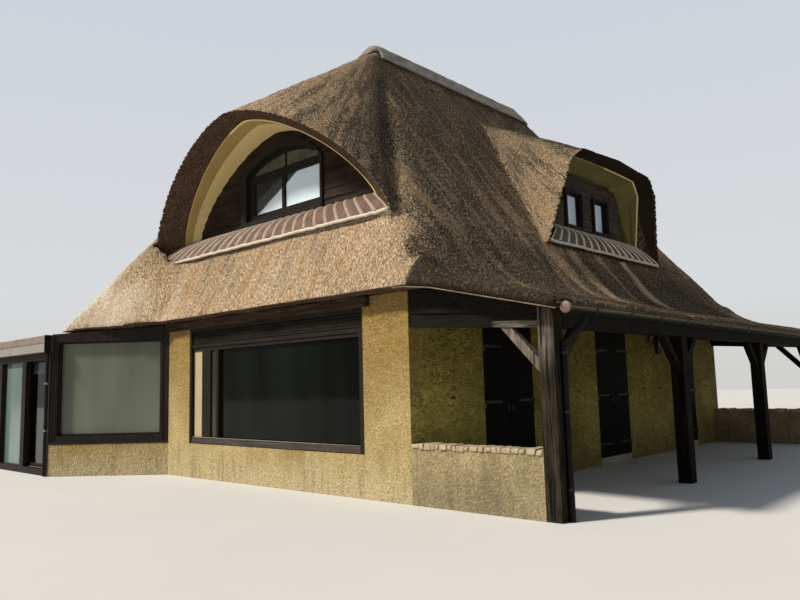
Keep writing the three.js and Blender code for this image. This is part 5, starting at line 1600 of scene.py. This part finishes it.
def fascia(word, face, back):
    xs = [0.01, 0.25, 0.7, 1.4, 2.085]
    low = [(x, min(2.43 - 0.15 * x / 2.09 + 0.19, underside(x) - 0.03)) for x in xs]
    top = [(x, underside(x) - 0.004) for x in reversed(xs)]
    piece(f"{word}_fascia", [swept(low + top, face, back, "y")], beam_oak, bevel=0.004)


fascia("front", 0.008, 0.03)
fascia("rear", 11.87, 11.892)
pegs = [bar([(2.298, y + aside, z), (2.312, y + aside, z)], 0.012) for y in (0.105, 4.0, 7.95, 11.795)
        for aside, z in ((0.02, 1.66), (0.02, 1.73), (-0.04, 2.2))]
piece("brace_pegs", pegs, post_oak)
irons = []
for y in (0.95, 4.67, 7.53, 8.3, 11.16):
    irons += [slab((0.0, 0.012), (y - 0.045, y + 0.045), (1.405, 1.44)),
              bar([(0.01, y, 1.425), (0.04, y, 1.42), (0.045, y, 1.39)], 0.008)]
piece("door_holdbacks", irons, black_iron, bevel=0.002)
lath = [(0.02, -0.34, 2.955), (0.25, -0.345, 2.95), (0.7, -0.35, 2.888), (1.4, -0.352, 2.722),
        (2.1, -0.352, 2.557), (2.56, -0.352, 2.448)]
piece("verge_lath", [bar(lath, 0.009, 6)], pale_lath)
print("fascias, pegs, hold-backs and lath placed")

# %% [markdown]
# ## Gutter, pipes and lantern
# The gutter hangs from strap brackets under a thin rolled lip, and a round cap closes its front end. The
# lantern is a six-sided case with bars, a flared roof and a curled arm.

# %% Gutter brackets, end cap and pipe clamps
CENTRE_X, CENTRE_Z = 2.6323, 2.46
LIP_X = CENTRE_X + 0.072


def gutter_arc(radius, start, end, steps):
    return [(CENTRE_X + radius * math.cos(a), CENTRE_Z + radius * math.sin(a))
            for a in np.linspace(start, end, steps)]


straps = []
for y in np.arange(0.35, 12.2, 0.93):
    outline = gutter_arc(0.079, math.pi, 2 * math.pi, 11) + gutter_arc(0.0725, math.pi, 2 * math.pi, 11)[::-1]
    straps += [swept(outline, y - 0.025, y + 0.025, "y"),
               slab((2.556, 2.715), (y - 0.025, y + 0.025), (2.452, 2.473))]
piece("gutter_brackets", straps, dark_pipe)
lip = bar([(LIP_X, -0.26, 2.463), (LIP_X, 12.3, 2.463)], 0.008)
piece("gutter_lip", [lip], dull_lip, smooth=True)
piece("eave_lath", [bar([(2.57, -0.33, 2.516), (2.57, 12.23, 2.516)], 0.012, 6)], red_lath)
rings = [[(x, -0.262 - ahead, z) for x, z in gutter_arc(radius, 0, 2 * math.pi, 25)]
         for radius, ahead in ((0.068, -0.03), (0.07, 0.0), (0.062, 0.008), (0.031, 0.014), (0.001, 0.016))]
piece("gutter_end_cap", [loft(rings)], copper_pink, smooth=True)
clamps = []
for z in (0.35, 1.25, 1.95):
    clamps += [bar([(2.3412, 0.16, z), (2.3412, 0.16, z + 0.03)], 0.046, 14),
               slab((2.29, 2.32), (0.15, 0.17), (z + 0.006, z + 0.024))]
piece("pipe_clamps", clamps, black_iron)
print("gutter:", len(straps) // 2, "brackets")

# %% Lantern
LAMP = (0.19, 7.93, 2.16)
BOTTOM = (0.0001, 0.0), (0.058, 0.0), (0.064, 0.02), (0.05, 0.03)  # radius, height
ROOF = ((0.088, 0.262), (0.096, 0.285), (0.118, 0.29), (0.112, 0.305), (0.06, 0.385), (0.045, 0.4),
        (0.048, 0.412), (0.02, 0.43), (0.0001, 0.432))


def six(radius, height):
    """The corners of a six-sided ring, closed."""
    return [(LAMP[0] + radius * math.cos(a), LAMP[1] + radius * math.sin(a), LAMP[2] + height)
            for a in np.linspace(0, 2 * math.pi, 7)]


case = [loft([six(*ring) for ring in rings]) for rings in (BOTTOM, ROOF)]
case += [bar(ends, 0.0055, 6) for ends in list(zip(six(0.061, 0.02), six(0.09, 0.28)))[:6]]
case += [bar(six(*ring), 0.004, 6) for ring in ((0.071, 0.105), (0.0805, 0.19))]
arm = [(x, LAMP[1], z) for x, z in ((0.19, 2.59), (0.19, 2.615), (0.15, 2.625), (0.08, 2.61), (0.03, 2.57),
                                    (0.012, 2.5))]
case += [bar(arm, 0.0085), slab((0.001, 0.014), (7.895, 7.965), (2.42, 2.61))]
piece("lantern_case", case, black_iron, stands_for=["lantern"])
piece("lantern_panes", [loft([six(0.055, 0.022), six(0.083, 0.28)])], strip_glass)
print("lantern hung")

# %% [markdown]
# ## The annex
# The flat-roofed annex is glazed between dark posts under a grey fascia with a pinkish edge. Its sliding
# panel has its own slim frame and handle, which ride on the panel, and a white blind hangs half drawn
# behind it.

# %% Annex roof edge, blind and sliding frame
RIGHT_END = -8.352
PANEL_LEFT, PANEL_RIGHT = -9.69, -8.46
PANEL = -1.4277, -1.3797  # the sliding panel's faces
PANEL_FOOT, PANEL_HEAD = 0.131, 2.35
cap = [(-1.678, 2.655), (-1.684, 2.67), (-1.684, 2.808), (-1.6, 2.815), (-1.6, 2.655)]
edges = [swept(cap, -12.73, RIGHT_END, "x"), slab((-12.735, -12.64), (-1.6, 2.48), (2.655, 2.812))]
piece("annex_edge_cap", edges, pink_felt, bevel=0.006)
felt = slab((-12.64, RIGHT_END), (-1.6, 2.47), (2.798, 2.808))
piece("annex_felt", [felt], grey_felt, bevel=0.003)
folds = [(-1.372 + 0.004 * math.sin(i * 1.9), 2.06 + i * 0.02) for i in range(16)]
blind = folds + [(a + 0.012, b) for a, b in reversed(folds)]
piece("annex_blind", [swept(blind, -9.6, -8.52, "x")], white_blind)
stiles = (PANEL_LEFT - 0.001, PANEL_LEFT + 0.05), (PANEL_RIGHT - 0.05, PANEL_RIGHT + 0.001)
slide = [slab(x, PANEL, (PANEL_FOOT, PANEL_HEAD)) for x in stiles]
slide += [slab((stiles[0][1], stiles[1][0]), PANEL, z) for z in ((PANEL_FOOT, 0.21), (2.29, PANEL_HEAD))]
piece("sliding_frame", slide, frame_paint, body="annex_panel", bevel=0.004)
pull = [(PANEL_RIGHT - 0.03, PANEL[1] + out, z)
        for out, z in ((0.001, 1.0), (0.03, 1.02), (0.03, 1.2), (0.001, 1.22))]
piece("sliding_pull", [bar(pull, 0.009)], black_iron, body="annex_panel", smooth=True)
pipe = [(-8.4, -1.6, 0.01), (-8.4, -1.6, 2.62), (-8.44, -1.62, 2.7), (-8.47, -1.64, 2.78)]
piece("annex_pipe", [bar(pipe, 0.033, 12)], frame_paint, smooth=True)
collars = [bar([(-8.4, -1.6, z), (-8.4, -1.6, z + 0.035)], 0.04, 12) for z in (0.88, 1.82)]
piece("annex_pipe_clamps", collars, pale_clamp, smooth=True)
end_board = slab((RIGHT_END, -8.332), (-1.69, -1.55), (2.45, 2.815))
piece("annex_end_board", [end_board], beam_oak, bevel=0.003)
print("annex finished")

# %% [markdown]
# ## Trim of the canted and rear windows
# The canted window's pane is held by a slim bead inside the heavy frame. The wall it belongs to is
# turned, so the bead is built flat and turned with it. The rear window repeats the same trim, with a
# sill.

# %% Beads and sills
CANT_TURN = math.atan2(1.55, 1.89)
CANT_LENGTH = math.hypot(1.89, 1.55)


def turned(part):
    """A part built along the front, turned to lie along the canted wall."""
    points, faces = part
    c, s = math.cos(CANT_TURN), math.sin(CANT_TURN)
    return [(-8.35 + x * c - y * s, -1.55 + x * s + y * c, z) for x, y, z in points], faces


pane = outline_of(0.15, CANT_LENGTH - 0.18, 0.79, 2.6597)
bead = outline_of(0.18, CANT_LENGTH - 0.21, 0.82, 2.63)
sill = slab((0.0, CANT_LENGTH - 0.01), (-0.012, 0.03), (0.622, 0.67))
uprights = [slab(x, (0.0, 0.012), (0.67, 2.8))
            for x in ((0.05, 0.068), (0.1, 0.118), (CANT_LENGTH - 0.15, CANT_LENGTH - 0.12))]
parts = [frame_of(pane, bead, 0.06, 0.125, "y"), sill, *uprights]
piece("cant_bead", [turned(part) for part in parts], frame_paint, bevel=0.003)
parts = [swept([(11.84, 1.08), (11.93, 1.07), (11.93, 1.1), (11.84, 1.13)], -5.14, -3.26, "x")]
for left, right in ((-5.02, -4.24), (-4.16, -3.38)):
    inner = outline_of(left + 0.035, right - 0.035, 1.195, 2.165)
    parts.append(frame_of(outline_of(left, right, 1.16, 2.2), inner, 11.775, 11.82, "y"))
piece("rear_window_trim", parts, frame_paint, bevel=0.003)
print("windows trimmed")

# %% [markdown]
# ## Floor and light
# The house stands on a plain pale floor. A large soft sun from the front left lights the apron and the
# front wall and leaves the gallery in shade, as the picture shows, and a pale sky fills the shadows.

# %% Floor, sky and sun
FLOOR_RADIUS, FLOOR_SIDES = 90, 64
SUN_STRENGTH, SUN_SIZE, SUN_COLOUR = 4.6, math.radians(7), (1.0, 0.93, 0.82)
SUN_WAY = Vector((0.42, 0.78, -0.86))
SKY_LIGHT, SKY_SEEN = 0.38, 0.8  # strength of the sky as a light, and as the camera sees it


def make_floor():
    g = Finish("pale_floor")
    effect = g.weather(0.15, 3.0)
    colour = g.blend(effect["Blotch"], (0.62, 0.615, 0.6), (0.58, 0.575, 0.56))
    mesh = bpy.data.meshes.new("floor")
    ring = [(FLOOR_RADIUS * math.cos(a), FLOOR_RADIUS * math.sin(a), -0.002)
            for a in np.linspace(0, 2 * math.pi, FLOOR_SIDES + 1)[:-1]]
    mesh.from_pydata(ring, [], [tuple(range(FLOOR_SIDES))])
    mesh.materials.append(g.done(colour, 0.9, effect["Tooth"], 0.02, 0.01))
    floor = bpy.data.objects.new("floor", mesh)
    scene.collection.objects.link(floor)
    floor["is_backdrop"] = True


def make_sky():
    world = bpy.data.worlds.new("sky")
    world.use_nodes = True
    scene.world = world
    g = Graph(world.node_tree)
    height = g.axis(g.node("TexCoord").outputs["Generated"], "Z")
    colour = g.ramp(height, (0.0, (0.8, 0.79, 0.77)), (0.12, (0.86, 0.88, 0.9)), (1.0, (0.62, 0.72, 0.86)))
    backdrop = world.node_tree.nodes["Background"].inputs
    g.feed(backdrop["Color"], colour)
    seen = g.node("LightPath").outputs["Is Camera Ray"]
    g.feed(backdrop["Strength"], g.remap(seen, 0.0, 1.0, SKY_LIGHT, SKY_SEEN))


make_floor()
make_sky()
scene.view_settings.view_transform = "Standard"
sun = bpy.data.objects.new("sun", bpy.data.lights.new("sun", "SUN"))
sun.data.energy, sun.data.angle, sun.data.color = SUN_STRENGTH, SUN_SIZE, SUN_COLOUR
sun.rotation_euler = SUN_WAY.to_track_quat("-Z", "Y").to_euler()
scene.collection.objects.link(sun)
print("floor and light in place")

# %% [markdown]
# ## The size at the end
# The box of the dressed house, without the floor, is printed at the end.

# %% Print the size of the dressed house
low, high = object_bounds()
print("seen", [round(v, 3) for v in (*low, *high)])
